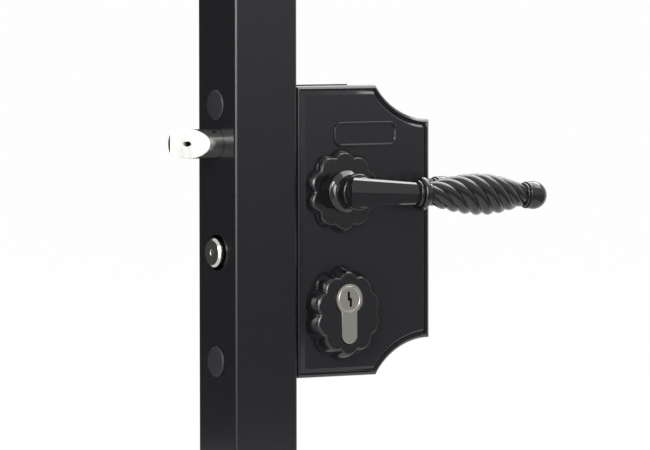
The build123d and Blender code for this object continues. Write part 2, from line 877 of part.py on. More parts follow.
def follower_arm(reach, tip_diameter, root_width, tip_width):
    """Upright arm with a round tip, drawn from the follower's axis."""
    root = root_width / 2
    tip = tip_width / 2
    shank = outline((-root, 0), (-tip, reach), (tip, reach), (root, 0))
    return shank + Pos(0, reach) * Circle(tip_diameter / 2)


def follower():
    """Hub with two journals, an upper arm that draws the latch and a lower arm for the spring."""
    hub = rod_y(follower_diameter, -floor_inside + free_gap, lid_inside - free_gap, handle_x, handle_level)
    journal = rod_y(follower_trunnion, -half_case + fit_gap, half_case - fit_gap, handle_x, handle_level)
    upper = follower_arm(follower_arm_reach, follower_tip_diameter, follower_root_width, follower_arm_width)
    lower = follower_arm(spring_arm_reach, spring_arm_width, spring_arm_width, spring_arm_width)
    arms = Rot(0, 0, handle_travel / 2) * (upper + Rot(0, 0, 180) * lower)
    half = follower_arm_thickness / 2
    body = hub + journal + slab(arms, -half, half, handle_level, handle_x)
    return body - spindle_socket(-half_case - cut, half_case + cut)


def bolt_bush(level):
    """Plastic guide: a sleeve through the profile's wall with a flange let into the case."""
    sleeve_x = (inner_face_x - bolt_bush_sleeve, inner_face_x)
    sleeve = rod_x(bush_diameter, *sleeve_x, level)
    flange = rod_x(bolt_bush_flange, face_x, face_x + bolt_bush_flange_thickness, level)
    return sleeve + flange - rod_x(bolt_diameter + 2 * running_gap, *sleeve_x, level)


def bolt_pin(x, level):
    """Cross pin that joins a bolt to its tail."""
    return rod_y(bolt_pin_diameter, -bolt_pin_length / 2, bolt_pin_length / 2, x, level)


def bolt_pin_hole(x, level):
    return rod_y(bolt_pin_diameter + 2 * running_gap, -bolt_radius - cut, bolt_radius + cut, x, level)


def bolt_slot(end_x, length, level):
    """Slot in a bolt's inner end for its tail."""
    half = tail_thickness / 2 + running_gap
    reach = bolt_radius + cut
    return block(end_x - length, end_x + cut, -half, half, level - reach, level + reach)


def latch_bolt():
    """Round bolt with a bevelled nose that faces the front."""
    tip_x = -face_x - latch_reach
    bolt = rod_x(bolt_diameter, tip_x, latch_end_x, latch_level)
    flat_y = bolt_radius - nose_flat
    far_y = -bolt_radius - cut
    slope = tan(radians(nose_angle))
    wedge = outline(
        (tip_x - cut, flat_y + cut * slope),
        (tip_x + (flat_y - far_y) / slope, far_y),
        (tip_x - cut, far_y),
    )
    bolt -= extrude(Pos(0, 0, lock_height + latch_level) * wedge, amount=bolt_diameter, both=True)
    bolt -= rod_x(key_hole_diameter, tip_x, tip_x + key_hole_depth, latch_level)
    bolt -= bolt_slot(latch_end_x, bolt_slot_length, latch_level)
    return bolt - bolt_pin_hole(latch_pin_x, latch_level)


def latch_tail():
    """Flat tail: a tongue in the bolt, a notch for the follower's tip and a rod for the spring."""
    tongue_start = latch_end_x - bolt_slot_length + fit_gap
    rod_end = face_x + rib_outreach + rib_thickness + latch_rod_overlap
    flare = latch_notch + latch_notch_flare
    body = outline(
        (tongue_start, -latch_tail_bottom),
        (tongue_start, latch_tail_bottom),
        (latch_end_x, latch_tail_bottom),
        (latch_end_x, latch_tail_top),
        (latch_shoulder_x, latch_tail_top),
        (latch_shoulder_x, latch_rod_height / 2),
        (rod_end, latch_rod_height / 2),
        (rod_end, -latch_rod_height / 2),
        (latch_shoulder_x, -latch_rod_height / 2),
        (latch_shoulder_x, -latch_tail_bottom),
    )
    notch = outline(
        (-latch_notch, latch_notch_top),
        (latch_notch, latch_notch_top),
        (latch_notch, -latch_notch_flare_level),
        (flare, -latch_tail_bottom),
        (flare, -latch_tail_bottom - cut),
        (-flare, -latch_tail_bottom - cut),
        (-flare, -latch_tail_bottom),
        (-latch_notch, -latch_notch_flare_level),
    )
    half = tail_thickness / 2
    tail = slab(body - Pos(follower_tip_x, 0) * notch, -half, half, latch_level)
    return tail - bolt_pin_hole(latch_pin_x, latch_level)


def dead_bolt():
    """Round bolt, drawn in: chamfered rim and a small central hole."""
    front = -face_x - dead_bolt_reach
    bolt = rod_x(bolt_diameter, front, dead_end_x, dead_bolt_level)
    bolt = chamfer(bolt.edges().sort_by(Axis.X)[:1], dead_bolt_rim)
    bolt -= rod_x(dead_bolt_centre_hole, front, front + dead_bolt_centre_depth, dead_bolt_level)
    bolt -= bolt_slot(dead_end_x, dead_slot_length, dead_bolt_level)
    return bolt - bolt_pin_hole(dead_pin_x, dead_bolt_level)


def cam_reach():
    """Space that the cam sweeps between the tail's legs while key and dead bolt move together."""
    leg_end = dead_bolt_level - leg_drop - cylinder_level - free_gap
    reach = []
    for degree in range(361):
        angle = radians(degree)
        moved = dead_bolt_throw * degree / 360
        for side in both(cam_lobe_width / 2):
            if side * sin(angle) - cam_radius * cos(angle) > leg_end:
                reach.append(cam_radius * sin(angle) + side * cos(angle) + moved)
    return handle_x + min(reach) - free_gap, handle_x + max(reach) + free_gap


def dead_bolt_tail():
    """Flat tail with two legs that the cam turns between, a guide slot and two detent notches."""
    left, right = cam_reach()
    start = dead_end_x - dead_slot_length + fit_gap
    end = face_x + dead_tail_end
    top = dead_tail_half_height
    body = Pos((start + end) / 2, 0) * Rectangle(end - start, 2 * top)
    for leg_start, leg_width in ((left - left_leg_width, left_leg_width), (right, right_leg_width)):
        body += Pos(leg_start + leg_width / 2, -leg_drop / 2) * Rectangle(leg_width, leg_drop)
    slot_width = guide_pin_diameter + 2 * running_gap
    slot = SlotOverall(dead_bolt_throw + slot_width + 2 * running_gap, slot_width)
    body -= Pos(guide_pin_x + dead_bolt_throw / 2, 0) * slot
    notch = outline(
        (-detent_half_width, top),
        (0, top - detent_depth),
        (detent_half_width, top),
        (detent_half_width, top + cut),
        (-detent_half_width, top + cut),
    )
    for moved in (0.0, dead_bolt_throw):
        body -= Pos(face_x + detent_outreach + moved, 0) * notch
    half = tail_thickness / 2
    return slab(body, -half, half, dead_bolt_level) - bolt_pin_hole(dead_pin_x, dead_bolt_level)


def tail_guide_pin():
    return rod_y(guide_pin_diameter, -floor_inside - guide_pin_seat, lid_inside, guide_pin_x, dead_bolt_level)


def detent_spring():
    """Leaf spring with a bump that rests in a notch of the dead bolt's tail."""
    top = dead_bolt_level + dead_tail_half_height
    bump_x = face_x + detent_outreach
    lug_x = face_x + lug_outreach
    path = Polyline(
        (lug_x + lug_slot_length - fit_gap, lug_level),
        (lug_x - leaf_straight, lug_level),
        (bump_x + detent_half_width, top + leaf_lift),
        (bump_x, top - leaf_dip),
        (bump_x - detent_half_width, top + leaf_lift),
    )
    return slab(trace(path, line_width=leaf_thickness), -leaf_width / 2, leaf_width / 2)


def spring_guide_pin():
    start = inner_face_x - spring_pin_seat
    return rod_x(spring_pin_diameter, start, inner_face_x + spring_pin_length, spring_level)


def biarc(start, start_direction, end, end_direction):
    """Two tangent arcs from one point and direction to another."""
    chord = end - start
    a = 2 * (start_direction.dot(end_direction) - 1)
    b = -2 * chord.dot(start_direction + end_direction)
    reach = (-b - sqrt(b * b - 4 * a * chord.dot(chord))) / (2 * a)
    joint = (start + start_direction * reach + end - end_direction * reach) * 0.5
    first = TangentArc(start, joint, tangent=start_direction)
    return [first, TangentArc(joint, end, tangent=first % 1)]


def least_gap(arcs, wire, samples=4):
    """Least space between points of one wire that are half a turn or more apart."""
    points = [arc @ (number / samples) for arc in arcs for number in range(samples)]
    half_turn = 4 * samples
    spans = [(a - b).length for number, a in enumerate(points) for b in points[number + half_turn:]]
    return min(spans) - wire


def coil_spring(name, wire, diameter, turns, x_start, x_end, level):
    """Spring wound along X: one round wire on a steady helix of quarter-turn biarcs."""
    radius = (diameter - wire) / 2
    pitch = (x_end - x_start - wire) / turns

    def place(turn):
        angle = 2 * pi * turn
        x = x_start + wire / 2 + pitch * turn
        return Vector(x, radius * cos(angle), lock_height + level + radius * sin(angle))

    def direction(turn):
        angle = 2 * pi * turn
        return Vector(pitch, -2 * pi * radius * sin(angle), 2 * pi * radius * cos(angle)).normalized()

    arcs = []
    for quarter in range(4 * turns):
        start = quarter / 4
        end = (quarter + 1) / 4
        arcs += biarc(place(start), direction(start), place(end), direction(end))
    print(name, "least gap", round(least_gap(arcs, wire), 2), "mm")
    section = Plane(origin=place(0), z_dir=direction(0)) * Circle(wire / 2)
    return sweep(section, path=Wire(arcs))


def latch_spring():
    return coil_spring(
        "latch_spring", latch_spring_wire, latch_spring_diameter, latch_spring_turns,
        latch_shoulder_x + spring_end_gap, face_x + rib_outreach - spring_end_gap, latch_level)


def handle_spring():
    arm_x = handle_x + spring_arm_reach * sin(half_travel) - spring_arm_width / 2
    return coil_spring(
        "handle_spring", handle_spring_wire, handle_spring_diameter, handle_spring_turns,
        inner_face_x + spring_end_gap, arm_x - spring_end_gap, spring_level)


def cylinder_screw_place():
    return Pos(face_x, 0, lock_height + cylinder_level - cylinder_screw_drop) * Rot(0, 90, 0)


def cylinder_screw():
    screw = countersunk_screw(cylinder_screw_diameter, cylinder_screw_head, cylinder_screw_length)
    return cylinder_screw_place() * screw


def cylinder_body():
    """Profile body with the gap for the cam, the bores of both plugs and the screw's hole."""
    body = slab(profile_outline(0.0), -half_cylinder, half_cylinder, cylinder_level, handle_x)
    half_gap = cam_gap_width / 2
    body -= block(handle_x - cylinder_round, handle_x + cylinder_round, -half_gap, half_gap,
                  cylinder_level - cam_gap_drop, cylinder_level + cylinder_round)
    body -= rod_y(plug_diameter, -half_cylinder - cut, half_cylinder + cut, handle_x, cylinder_level)
    seat = half_cylinder - plug_face_thickness
    for start, end in ((-half_cylinder - cut, -seat), (seat, half_cylinder + cut)):
        body -= rod_y(plug_face_diameter + 2 * running_gap, start, end, handle_x, cylinder_level)
    return body - rod_x(cylinder_screw_diameter + 2 * running_gap, handle_x - cylinder_stem,
                        handle_x + cylinder_stem, cylinder_level - cylinder_screw_drop)


def keyway():
    """Stepped slot for the key."""
    arm = Rectangle(keyway_width, (keyway_height + keyway_width) / 2)
    middle = Rectangle(keyway_width + keyway_step, keyway_width)
    offset = (keyway_height - keyway_width) / 4
    return Pos(-keyway_step / 2, offset) * arm + middle + Pos(keyway_step / 2, -offset) * arm


def front_plug():
    """Turning plug: a face with a raised rim, a body with the keyway and a journal for the cam."""
    face = half_cylinder + plug_proud
    seat = half_cylinder - plug_face_thickness + running_gap
    cam_side = cam_gap_width / 2
    place = (handle_x, cylinder_level)
    plug = rod_y(plug_face_diameter, -face, -seat, *place)
    plug -= rod_y(plug_face_diameter - 2 * plug_rim_width, -face, -face + plug_rim_depth, *place)
    plug += rod_y(plug_diameter - 2 * running_gap, -seat - plug_joint, -cam_side, *place)
    plug += rod_y(plug_journal_diameter, -cam_side - plug_joint, -fit_gap, *place)
    return plug - slab(keyway(), -face, -face + keyway_depth, cylinder_level, handle_x)


def cylinder_cam():
    """Ring with one lobe; it hangs down inside the profile while the key is out."""
    lobe = Pos(0, -cam_radius / 2) * Rectangle(cam_lobe_width, cam_radius) & Circle(cam_radius)
    body = Circle(cam_ring_diameter / 2) + lobe - Circle(plug_journal_diameter / 2 + running_gap)
    return slab(body, -cam_width / 2, cam_width / 2, cylinder_level, handle_x)


def parts():
    """Every piece by name."""
    return {
        "gate_profile": gate_profile(),
        "profile_caps": group(profile_cap(level) for level in both(fixing_level)),
        "fixing_bolts": group(fixing_bolt(level) for level in both(fixing_level)),
        "fixing_washers": group(fixing_washer(level) for level in both(fixing_level)),
        "lock_case": lock_case(),
        "lock_case_lid": lock_case_lid(),
        "lid_screws": lid_screws(),
        "front_cover": front_cover(),
        "rear_cover": rear_cover(),
        "cover_screws": cover_screws(),
        "front_handle_rosette": front_handle_rosette(),
        "rear_handle_rosette": to_rear(front_handle_rosette()),
        "front_cylinder_rosette": front_cylinder_rosette(),
        "rear_cylinder_rosette": to_rear(front_cylinder_rosette()),
        "rosette_screws": rosette_screws(),
        "handle_bushes": group([handle_bush(), to_rear(handle_bush())]),
        "bolt_bushes": group(bolt_bush(level) for level in (latch_level, dead_bolt_level)),
        "front_handle": front_handle(),
        "rear_handle": to_rear(front_handle()),
        "handle_screws": group([handle_screw(), to_rear(handle_screw())]),
        "spindle": spindle(),
        "follower": follower(),
        "handle_spring": handle_spring(),
        "spring_guide_pin": spring_guide_pin(),
        "latch_bolt": latch_bolt(),
        "latch_tail": latch_tail(),
        "latch_pin": bolt_pin(latch_pin_x, latch_level),
        "latch_spring": latch_spring(),
        "dead_bolt": dead_bolt(),
        "dead_bolt_tail": dead_bolt_tail(),
        "dead_bolt_pin": bolt_pin(dead_pin_x, dead_bolt_level),
        "tail_guide_pin": tail_guide_pin(),
        "detent_spring": detent_spring(),
        "cylinder_body": cylinder_body(),
        "front_plug": front_plug(),
        "rear_plug": to_rear(front_plug()),
        "cylinder_cam": cylinder_cam(),
        "cylinder_screw": cylinder_screw(),
    }


os.makedirs("parts", exist_ok=True)
for node, shape in parts().items():
    export_step(shape, f"parts/{node}.step")
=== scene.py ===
import json
from math import asin, atan2, cos, degrees, pi, radians, sin, sqrt, tan

import bmesh
import bpy
from mathutils import Matrix, Vector


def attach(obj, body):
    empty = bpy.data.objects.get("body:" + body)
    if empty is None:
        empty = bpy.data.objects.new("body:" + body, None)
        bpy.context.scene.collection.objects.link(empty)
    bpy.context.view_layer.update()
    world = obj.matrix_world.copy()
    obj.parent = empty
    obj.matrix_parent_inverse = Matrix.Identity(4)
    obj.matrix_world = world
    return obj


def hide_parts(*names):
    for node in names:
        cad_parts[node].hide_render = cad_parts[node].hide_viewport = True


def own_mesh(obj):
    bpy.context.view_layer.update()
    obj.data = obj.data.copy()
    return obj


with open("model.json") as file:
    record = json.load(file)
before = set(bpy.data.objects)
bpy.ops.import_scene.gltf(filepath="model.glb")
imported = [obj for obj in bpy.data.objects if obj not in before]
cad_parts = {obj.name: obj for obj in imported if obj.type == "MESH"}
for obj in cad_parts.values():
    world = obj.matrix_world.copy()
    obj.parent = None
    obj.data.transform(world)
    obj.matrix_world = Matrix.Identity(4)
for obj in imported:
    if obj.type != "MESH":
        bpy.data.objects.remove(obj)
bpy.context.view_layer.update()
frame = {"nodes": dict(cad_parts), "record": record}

# Gate profile: 40 mm square steel tube with 2 mm walls, drawn to small round corners and
# powder-coated black. The outer wall is drilled for the two bolts and the caps, the inner
# wall for the bushes and the fixing bolts.
PROFILE_HALF = 20.0
PROFILE_WALL = 2.0
PROFILE_LENGTH = 300.0
OUTER_CORNER = 2.6
INNER_CORNER = 0.6
CORNER_STEPS = 8
LOCK_HEIGHT = 150.0
LATCH_HEIGHT = LOCK_HEIGHT + 49.0
DEAD_BOLT_HEIGHT = LOCK_HEIGHT - 10.5
FIXING_HEIGHTS = (LOCK_HEIGHT + 70.0, LOCK_HEIGHT - 70.0)
CAP_HOLE = 7.45
FIXING_HOLE = 4.15
LATCH_HOLE = 8.25
DEAD_BOLT_HOLE = 9.8
BUSH_HOLE = 10.15
PAST_WALL = 1.0
POWDER_BLACK = "#17181b"
PEEL_WIDTH = 1.4
MILLIMETRE = 0.001
MERGED_WITHIN = 0.001
FLAT_UNDER = radians(0.5)
EASED_OVER = radians(25)
SMOOTH_UNDER = radians(40)


def linear(code):
    """Linear colour of an sRGB hex code."""
    shares = [int(code[start:start + 2], 16) / 255 for start in (1, 3, 5)]
    return (*[s / 12.92 if s <= 0.04045 else ((s + 0.055) / 1.055) ** 2.4 for s in shares], 1.0)


def add(tree, kind, inputs, **settings):
    """Add a node with its settings; each input is a value, or a socket to link to."""
    node = tree.nodes.new("ShaderNode" + kind)
    for name, value in settings.items():
        setattr(node, name, value)
    for name, value in inputs.items():
        if isinstance(value, bpy.types.NodeSocket):
            tree.links.new(value, node.inputs[name])
        else:
            node.inputs[name].default_value = value
    return node


def finish_named(name, colour, **sockets):
    """Material with one shader; returns the material, its tree, its shader and Object coordinates."""
    material = bpy.data.materials.new(name)
    material.use_nodes = True
    tree = material.node_tree
    shader = tree.nodes["Principled BSDF"]
    shader.inputs["Base Color"].default_value = linear(colour)
    for socket, value in sockets.items():
        shader.inputs[socket.replace("_", " ")].default_value = value
    place = add(tree, "TexCoord", {}).outputs["Object"]
    return material, tree, shader, place


def piece(name, form, material, body, slot, *nodes):
    """Mesh object from a bmesh in millimetres, with flat faces kept flat beside rounded edges."""
    bmesh.ops.remove_doubles(form, verts=form.verts, dist=MERGED_WITHIN)
    bmesh.ops.recalc_face_normals(form, faces=form.faces)
    bmesh.ops.scale(form, vec=(MILLIMETRE,) * 3, verts=form.verts)
    for face in form.faces:
        face.smooth = True
    mesh = bpy.data.meshes.new(name)
    form.to_mesh(mesh)
    form.free()
    mesh.set_sharp_from_angle(angle=SMOOTH_UNDER)
    mesh.materials.append(material)
    made = bpy.data.objects.new(name, mesh)
    bpy.context.scene.collection.objects.link(made)
    made.modifiers.new("flat faces", "WEIGHTED_NORMAL").keep_sharp = True
    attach(made, body)
    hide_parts(*nodes)
    return made


def bar(low, high):
    """Block between two corners."""
    form = bmesh.new()
    bmesh.ops.create_cube(form, size=1.0)
    size = [b - a for a, b in zip(low, high)]
    middle = [(a + b) / 2 for a, b in zip(low, high)]
    placed = Matrix.Translation(middle) @ Matrix.Diagonal((*size, 1))
    bmesh.ops.transform(form, matrix=placed, verts=form.verts)
    return form


def rod(radius, start, end, steps=64):
    """Round bar between two points."""
    form = bmesh.new()
    reach = Vector(end) - Vector(start)
    turned_up = reach.to_track_quat("Z", "Y").to_matrix().to_4x4()
    middle = Matrix.Translation((Vector(start) + Vector(end)) / 2)
    bmesh.ops.create_cone(form, cap_ends=True, segments=steps, radius1=radius, radius2=radius,
                          depth=reach.length, matrix=middle @ turned_up)
    return form


def combined(form, *tools, how="DIFFERENCE"):
    """Cut a form with others, or keep their overlap."""
    for tool in tools:
        blanks = []
        for shape in (form, tool):
            mesh = bpy.data.meshes.new("blank")
            shape.to_mesh(mesh)
            shape.free()
            blanks.append(bpy.data.objects.new("blank", mesh))
            bpy.context.scene.collection.objects.link(blanks[-1])
        change = blanks[0].modifiers.new("change", "BOOLEAN")
        change.object = blanks[1]
        change.operation = how
        form = bmesh.new()
        form.from_object(blanks[0], bpy.context.evaluated_depsgraph_get())
        for blank in blanks:
            bpy.data.meshes.remove(blank.data)
    return form


def eased(form, width, segments=2):
    """Round the sharp edges of a form a little, as coating and tumbling do."""
    bmesh.ops.dissolve_limit(form, angle_limit=FLAT_UNDER, verts=form.verts, edges=form.edges)
    sharp = [edge for edge in form.edges if edge.is_manifold and edge.calc_face_angle() > EASED_OVER]
    bmesh.ops.bevel(form, geom=sharp, affect="EDGES", offset=width, segments=segments, profile=0.5,
                    material=-1, clamp_overlap=True)
    return form


def square_bar(half, corner, low, high):
    """Square bar with round corners along Z."""
    form = bar((-half, -half, low), (half, half, high))
    upright = [edge for edge in form.edges if abs(edge.verts[0].co.z - edge.verts[1].co.z) > 1]
    bmesh.ops.bevel(form, geom=upright, affect="EDGES", offset=corner, segments=CORNER_STEPS,
                    profile=0.5, material=-1)
    return form


def wall_drill(radius, start, end, height):
    """Round cut through one wall, between two places along X."""
    return rod(radius, (start, 0, height), (end, 0, height))


drill_end = PROFILE_HALF + PAST_WALL
drill_start = PROFILE_HALF - PROFILE_WALL - PAST_WALL
tube = combined(
    square_bar(PROFILE_HALF, OUTER_CORNER, 0, PROFILE_LENGTH),
    square_bar(PROFILE_HALF - PROFILE_WALL, INNER_CORNER, -PAST_WALL, PROFILE_LENGTH + PAST_WALL),
)
for height, outer_hole, inner_hole in (
    *[(fixing, CAP_HOLE, FIXING_HOLE) for fixing in FIXING_HEIGHTS],
    (LATCH_HEIGHT, LATCH_HOLE, BUSH_HOLE),
    (DEAD_BOLT_HEIGHT, DEAD_BOLT_HOLE, BUSH_HOLE),
):
    outer_drill = wall_drill(outer_hole, -drill_end, -drill_start, height)
    inner_drill = wall_drill(inner_hole, drill_start, drill_end, height)
    tube = combined(tube, outer_drill, inner_drill)

# The powder melts to a semi-gloss black with a faint orange peel, which blurs and ripples
# reflections.
powder, tree, shader, place = finish_named(
    "semi_gloss_powder_coat", POWDER_BLACK, Roughness=0.22, Specular_IOR_Level=0.45)
peel = add(tree, "TexNoise", {"Vector": place, "Scale": 1000 / PEEL_WIDTH, "Detail": 1.5})
bump = add(tree, "Bump", {"Height": peel.outputs["Fac"], "Strength": 0.12, "Distance": 0.00005})
tree.links.new(bump.outputs["Normal"], shader.inputs["Normal"])
piece("square_tube", tube, powder, "lock", "powder_coat", "gate_profile")

# Caps: moulded black polyethylene plugs, a chamfered disc on a hollow stem with a snap rim.
# They are pushed into the outer wall over the heads of the fixing bolts.
CAP_PROFILE = (
    (0, 1.4), (7.65, 1.4), (8.25, 0.8), (8.25, 0),
    (7.3, 0), (7.3, -2.15), (7.65, -2.15), (7.65, -3.55), (7.3, -3.55), (7.3, -6),
    (5.9, -6), (5.9, 0), (0, 0),
)
CAP_EDGE = 0.12
PLASTIC_BLACK = "#232427"
MOULD_GRAIN = 0.625
OUTWARDS = Matrix.Translation((-PROFILE_HALF, 0, 0)) @ Matrix.Rotation(radians(-90), 4, "Y")


def turned(points, matrix, steps=96):
    """Spin a half profile of radius and height about Z and put it in place."""
    form = bmesh.new()
    line = [form.verts.new((radius, 0, height)) for radius, height in points]
    edges = [form.edges.new(pair) for pair in zip(line, line[1:])]
    bmesh.ops.spin(form, geom=line + edges, cent=(0, 0, 0), axis=(0, 0, 1), angle=2 * pi,
                   steps=steps, use_merge=True)
    bmesh.ops.remove_doubles(form, verts=form.verts, dist=MERGED_WITHIN)
    bmesh.ops.recalc_face_normals(form, faces=form.faces)
    bmesh.ops.transform(form, matrix=matrix, verts=form.verts)
    return form


def joined(*forms):
    """Separate shells in one form."""
    for other in forms[1:]:
        mesh = bpy.data.meshes.new("joined")
        other.to_mesh(mesh)
        other.free()
        forms[0].from_mesh(mesh)
        bpy.data.meshes.remove(mesh)
    return forms[0]


# The mould's grain, drawn coarse enough to show, keeps the plastic duller and greyer than
# the coated steel round it.
plastic, tree, shader, place = finish_named(
    "black_moulded_plastic", PLASTIC_BLACK, Roughness=0.5, Specular_IOR_Level=0.4)
grain = add(tree, "TexNoise", {"Vector": place, "Scale": 1000 / MOULD_GRAIN, "Detail": 3.0})
bump = add(tree, "Bump", {"Height": grain.outputs["Fac"], "Strength": 0.1, "Distance": 0.00004})
tree.links.new(bump.outputs["Normal"], shader.inputs["Normal"])
caps = [eased(turned(CAP_PROFILE, Matrix.Translation((0, 0, height)) @ OUTWARDS), CAP_EDGE)
        for height in FIXING_HEIGHTS]
piece("profile_plugs", joined(*caps), plastic, "lock", "black_plastic", "profile_caps")

# Bolts: 16 mm stainless bar, turned, then slotted and cross-drilled for their tails.
# The latch has a bevelled nose and a hole along its axis; the dead bolt has a chamfered
# rim and a raised centre with a hole.
BOLT_RADIUS = 8.0
BOLT_STEPS = 96
BOLT_EDGE = 0.3
LATCH_TIP = -46.0
LATCH_END = 28.0
LATCH_SLOT_START = 18.0
LATCH_PIN_X = 23.0
NOSE_SLOPE = tan(radians(39))
NOSE_FLAT = 5.8
NOSE_HOLE = 1.4
NOSE_HOLE_DEPTH = 22.0
DEAD_BOLT_PROFILE = ((0, -1.7), (1.5, -1.7), (1.5, 3.0), (1.8, 3.3), (6.8, 3.3), (8, 2.1),
                     (8, -70), (0, -70))
DEAD_BOLT_EDGE = 0.12
DEAD_BOLT_END = 50.0
DEAD_BOLT_SLOT_START = 33.5
DEAD_BOLT_PIN_X = 39.0
SLOT_HALF = 2.05
PIN_HOLE = 2.05
PAST_BOLT = 9.0
PAST_END = 1.0
SMALL_STEPS = 32
STAINLESS = "#c4c3bf"
TURNING_PITCH = 1.382
SMEAR_WIDTH = 1.11
# A wave texture of scale 1 has 20 waves in 2 pi metres.
UNIT_WAVES = 20 / (2 * pi)

# Turned steel shows the tool's rings, drawn coarser than the real ones so that they show,
# and a gloss that changes along the bar.
stainless, tree, shader, place = finish_named("turned_stainless_steel", STAINLESS, Metallic=1.0)
along = add(tree, "Mapping", {"Vector": place, "Scale": (1.0, 0.02, 0.02)})
rings = add(tree, "TexWave", {"Vector": place, "Scale": 1000 / TURNING_PITCH / UNIT_WAVES,
                              "Distortion": 0.3, "Detail": 1.0}, bands_direction="X")
smear = add(tree, "TexNoise", {"Vector": along.outputs["Vector"], "Scale": 1000 / SMEAR_WIDTH,
                               "Detail": 3.0})
polish = add(tree, "MapRange", {"Value": smear.outputs["Fac"], "To Min": 0.14, "To Max": 0.24})
bump = add(tree, "Bump", {"Height": rings.outputs["Fac"], "Strength": 0.04, "Distance": 0.00003})
tree.links.new(polish.outputs["Result"], shader.inputs["Roughness"])
tree.links.new(bump.outputs["Normal"], shader.inputs["Normal"])


def bolt_slot(start, end, height):
    """Upright slot that is open at a bolt's inner end."""
    return bar((start, -SLOT_HALF, height - PAST_BOLT), (end + PAST_END, SLOT_HALF, height + PAST_BOLT))


def pin_hole(x, height):
    """Hole across a bolt for the pin of its tail."""
    return rod(PIN_HOLE, (x, -PAST_BOLT, height), (x, PAST_BOLT, height), SMALL_STEPS)


def sliced(form, point, away):
    """Cut off what lies beyond a plane and close the form there."""
    cut = bmesh.ops.bisect_plane(form, geom=form.verts[:] + form.edges[:] + form.faces[:],
                                 plane_co=point, plane_no=away, clear_outer=True)
    rim = [item for item in cut["geom_cut"] if isinstance(item, bmesh.types.BMEdge)]
    bmesh.ops.edgenet_fill(form, edges=rim)
    return form


latch = sliced(
    rod(BOLT_RADIUS, (LATCH_TIP, 0, LATCH_HEIGHT), (LATCH_END, 0, LATCH_HEIGHT), BOLT_STEPS),
    (LATCH_TIP, NOSE_FLAT, LATCH_HEIGHT),
    (-NOSE_SLOPE, -1, 0),
)
nose_drill = rod(NOSE_HOLE, (LATCH_TIP - PAST_END, 0, LATCH_HEIGHT),
                 (LATCH_TIP + NOSE_HOLE_DEPTH, 0, LATCH_HEIGHT), SMALL_STEPS)
latch = eased(combined(latch, nose_drill), BOLT_EDGE)
latch = combined(
    latch,
    bolt_slot(LATCH_SLOT_START, LATCH_END, LATCH_HEIGHT),
    pin_hole(LATCH_PIN_X, LATCH_HEIGHT),
)
piece("bevelled_latch", latch, stainless, "latch", "stainless", "latch_bolt")

dead = turned(DEAD_BOLT_PROFILE, Matrix.Translation((0, 0, DEAD_BOLT_HEIGHT)) @ OUTWARDS)
dead = combined(
    eased(dead, DEAD_BOLT_EDGE),
    bolt_slot(DEAD_BOLT_SLOT_START, DEAD_BOLT_END, DEAD_BOLT_HEIGHT),
    pin_hole(DEAD_BOLT_PIN_X, DEAD_BOLT_HEIGHT),
)
piece("drawn_dead_bolt", dead, stainless, "deadbolt", "stainless", "dead_bolt")

# Covers: black-coated aluminium castings with two hollow corners on the gate side. Their
# border steps from a chamfered edge over a narrow bead into a groove, and up to the
# raised panel. A plain rounded frame stands on the panel; its field is bare.
COVER_LEFT = 20.7
COVER_RIGHT = 108.5
COVER_HALF_HEIGHT = 80.0
COVER_BACK = 13.0
COVER_FRONT = 18.0
HOLLOW_RADIUS = 42.0
HOLLOW_LEVEL = 102.6
HOLLOW_STEPS = 24
HANDLE_X = 48.9
HANDLE_HEIGHT = LOCK_HEIGHT + 22.0
HANDLE_OPENING = 9.9
CYLINDER_HEIGHT = LOCK_HEIGHT - 37.0
CYLINDER_HEAD = 8.5
CYLINDER_STEM = 5.0
CYLINDER_FOOT = 19.5
CYLINDER_GAP = 0.4
HEAD_STEPS = 48
STEM_STEPS = 20
PAST_COVER = 30.0
PAST_CYLINDER = 40.0
# Inset from the outline, and distance from the middle of the lock
BORDER_STEPS = (
    (0.0, COVER_BACK), (0.0, 15.6), (0.45, 16.45), (1.65, 17.4), (1.9, 17.2), (2.3, 16.45),
    (2.7, 16.3), (3.1, 16.45), (4.8, 17.85), (5.2, COVER_FRONT),
)
FRAME_CENTRE = (65.1, 203.1)
FRAME_HALF = (20.65, 6.9)
FRAME_CORNER = 5.0
FRAME_BAND = 1.5
FRAME_RISE = 1.0
FRAME_SINK = 0.1
FRAME_EDGE = 0.5
FRAME_CORNER_STEPS = 10
SCREW_PLACES = ((54.0, 69.0), (54.0, -69.0), (98.0, 34.0), (98.0, -34.0))
SINK_PROFILE = ((0, 1), (4.3, 1), (4.3, 0), (2.3, -2), (2.3, -8), (0, -8))
SINK_STEPS = 48
COATING_BLACK = "#1c1d20"
CAST_WIDTH = 7.14
FINE_WIDTH = 1.43
FORWARDS = Matrix.Rotation(radians(90), 4, "X")


def outline(*runs):
    """Front-facing face from points, each with the centre, turn and steps of an arc that starts there."""
    form = bmesh.new()
    ends = []
    for point, *arc in runs:
        first = form.verts.new((point[0], 0, point[1]))
        last = first
        if arc:
            centre, turn, steps = arc
            swept = bmesh.ops.spin(form, geom=[first], cent=(centre[0], 0, centre[1]), axis=(0, -1, 0),
                                   angle=radians(turn), steps=steps)
            last = next(item for item in swept["geom_last"] if isinstance(item, bmesh.types.BMVert))
        ends.append((first, last))
    for (_, last), (first, _) in zip(ends, ends[1:] + ends[:1]):
        form.edges.new((last, first))
    bmesh.ops.remove_doubles(form, verts=form.verts, dist=MERGED_WITHIN)
    face = bmesh.ops.contextual_create(form, geom=form.edges)["faces"][0]
    face.normal_update()
    if face.normal.y > 0:
        face.normal_flip()
    return form, face


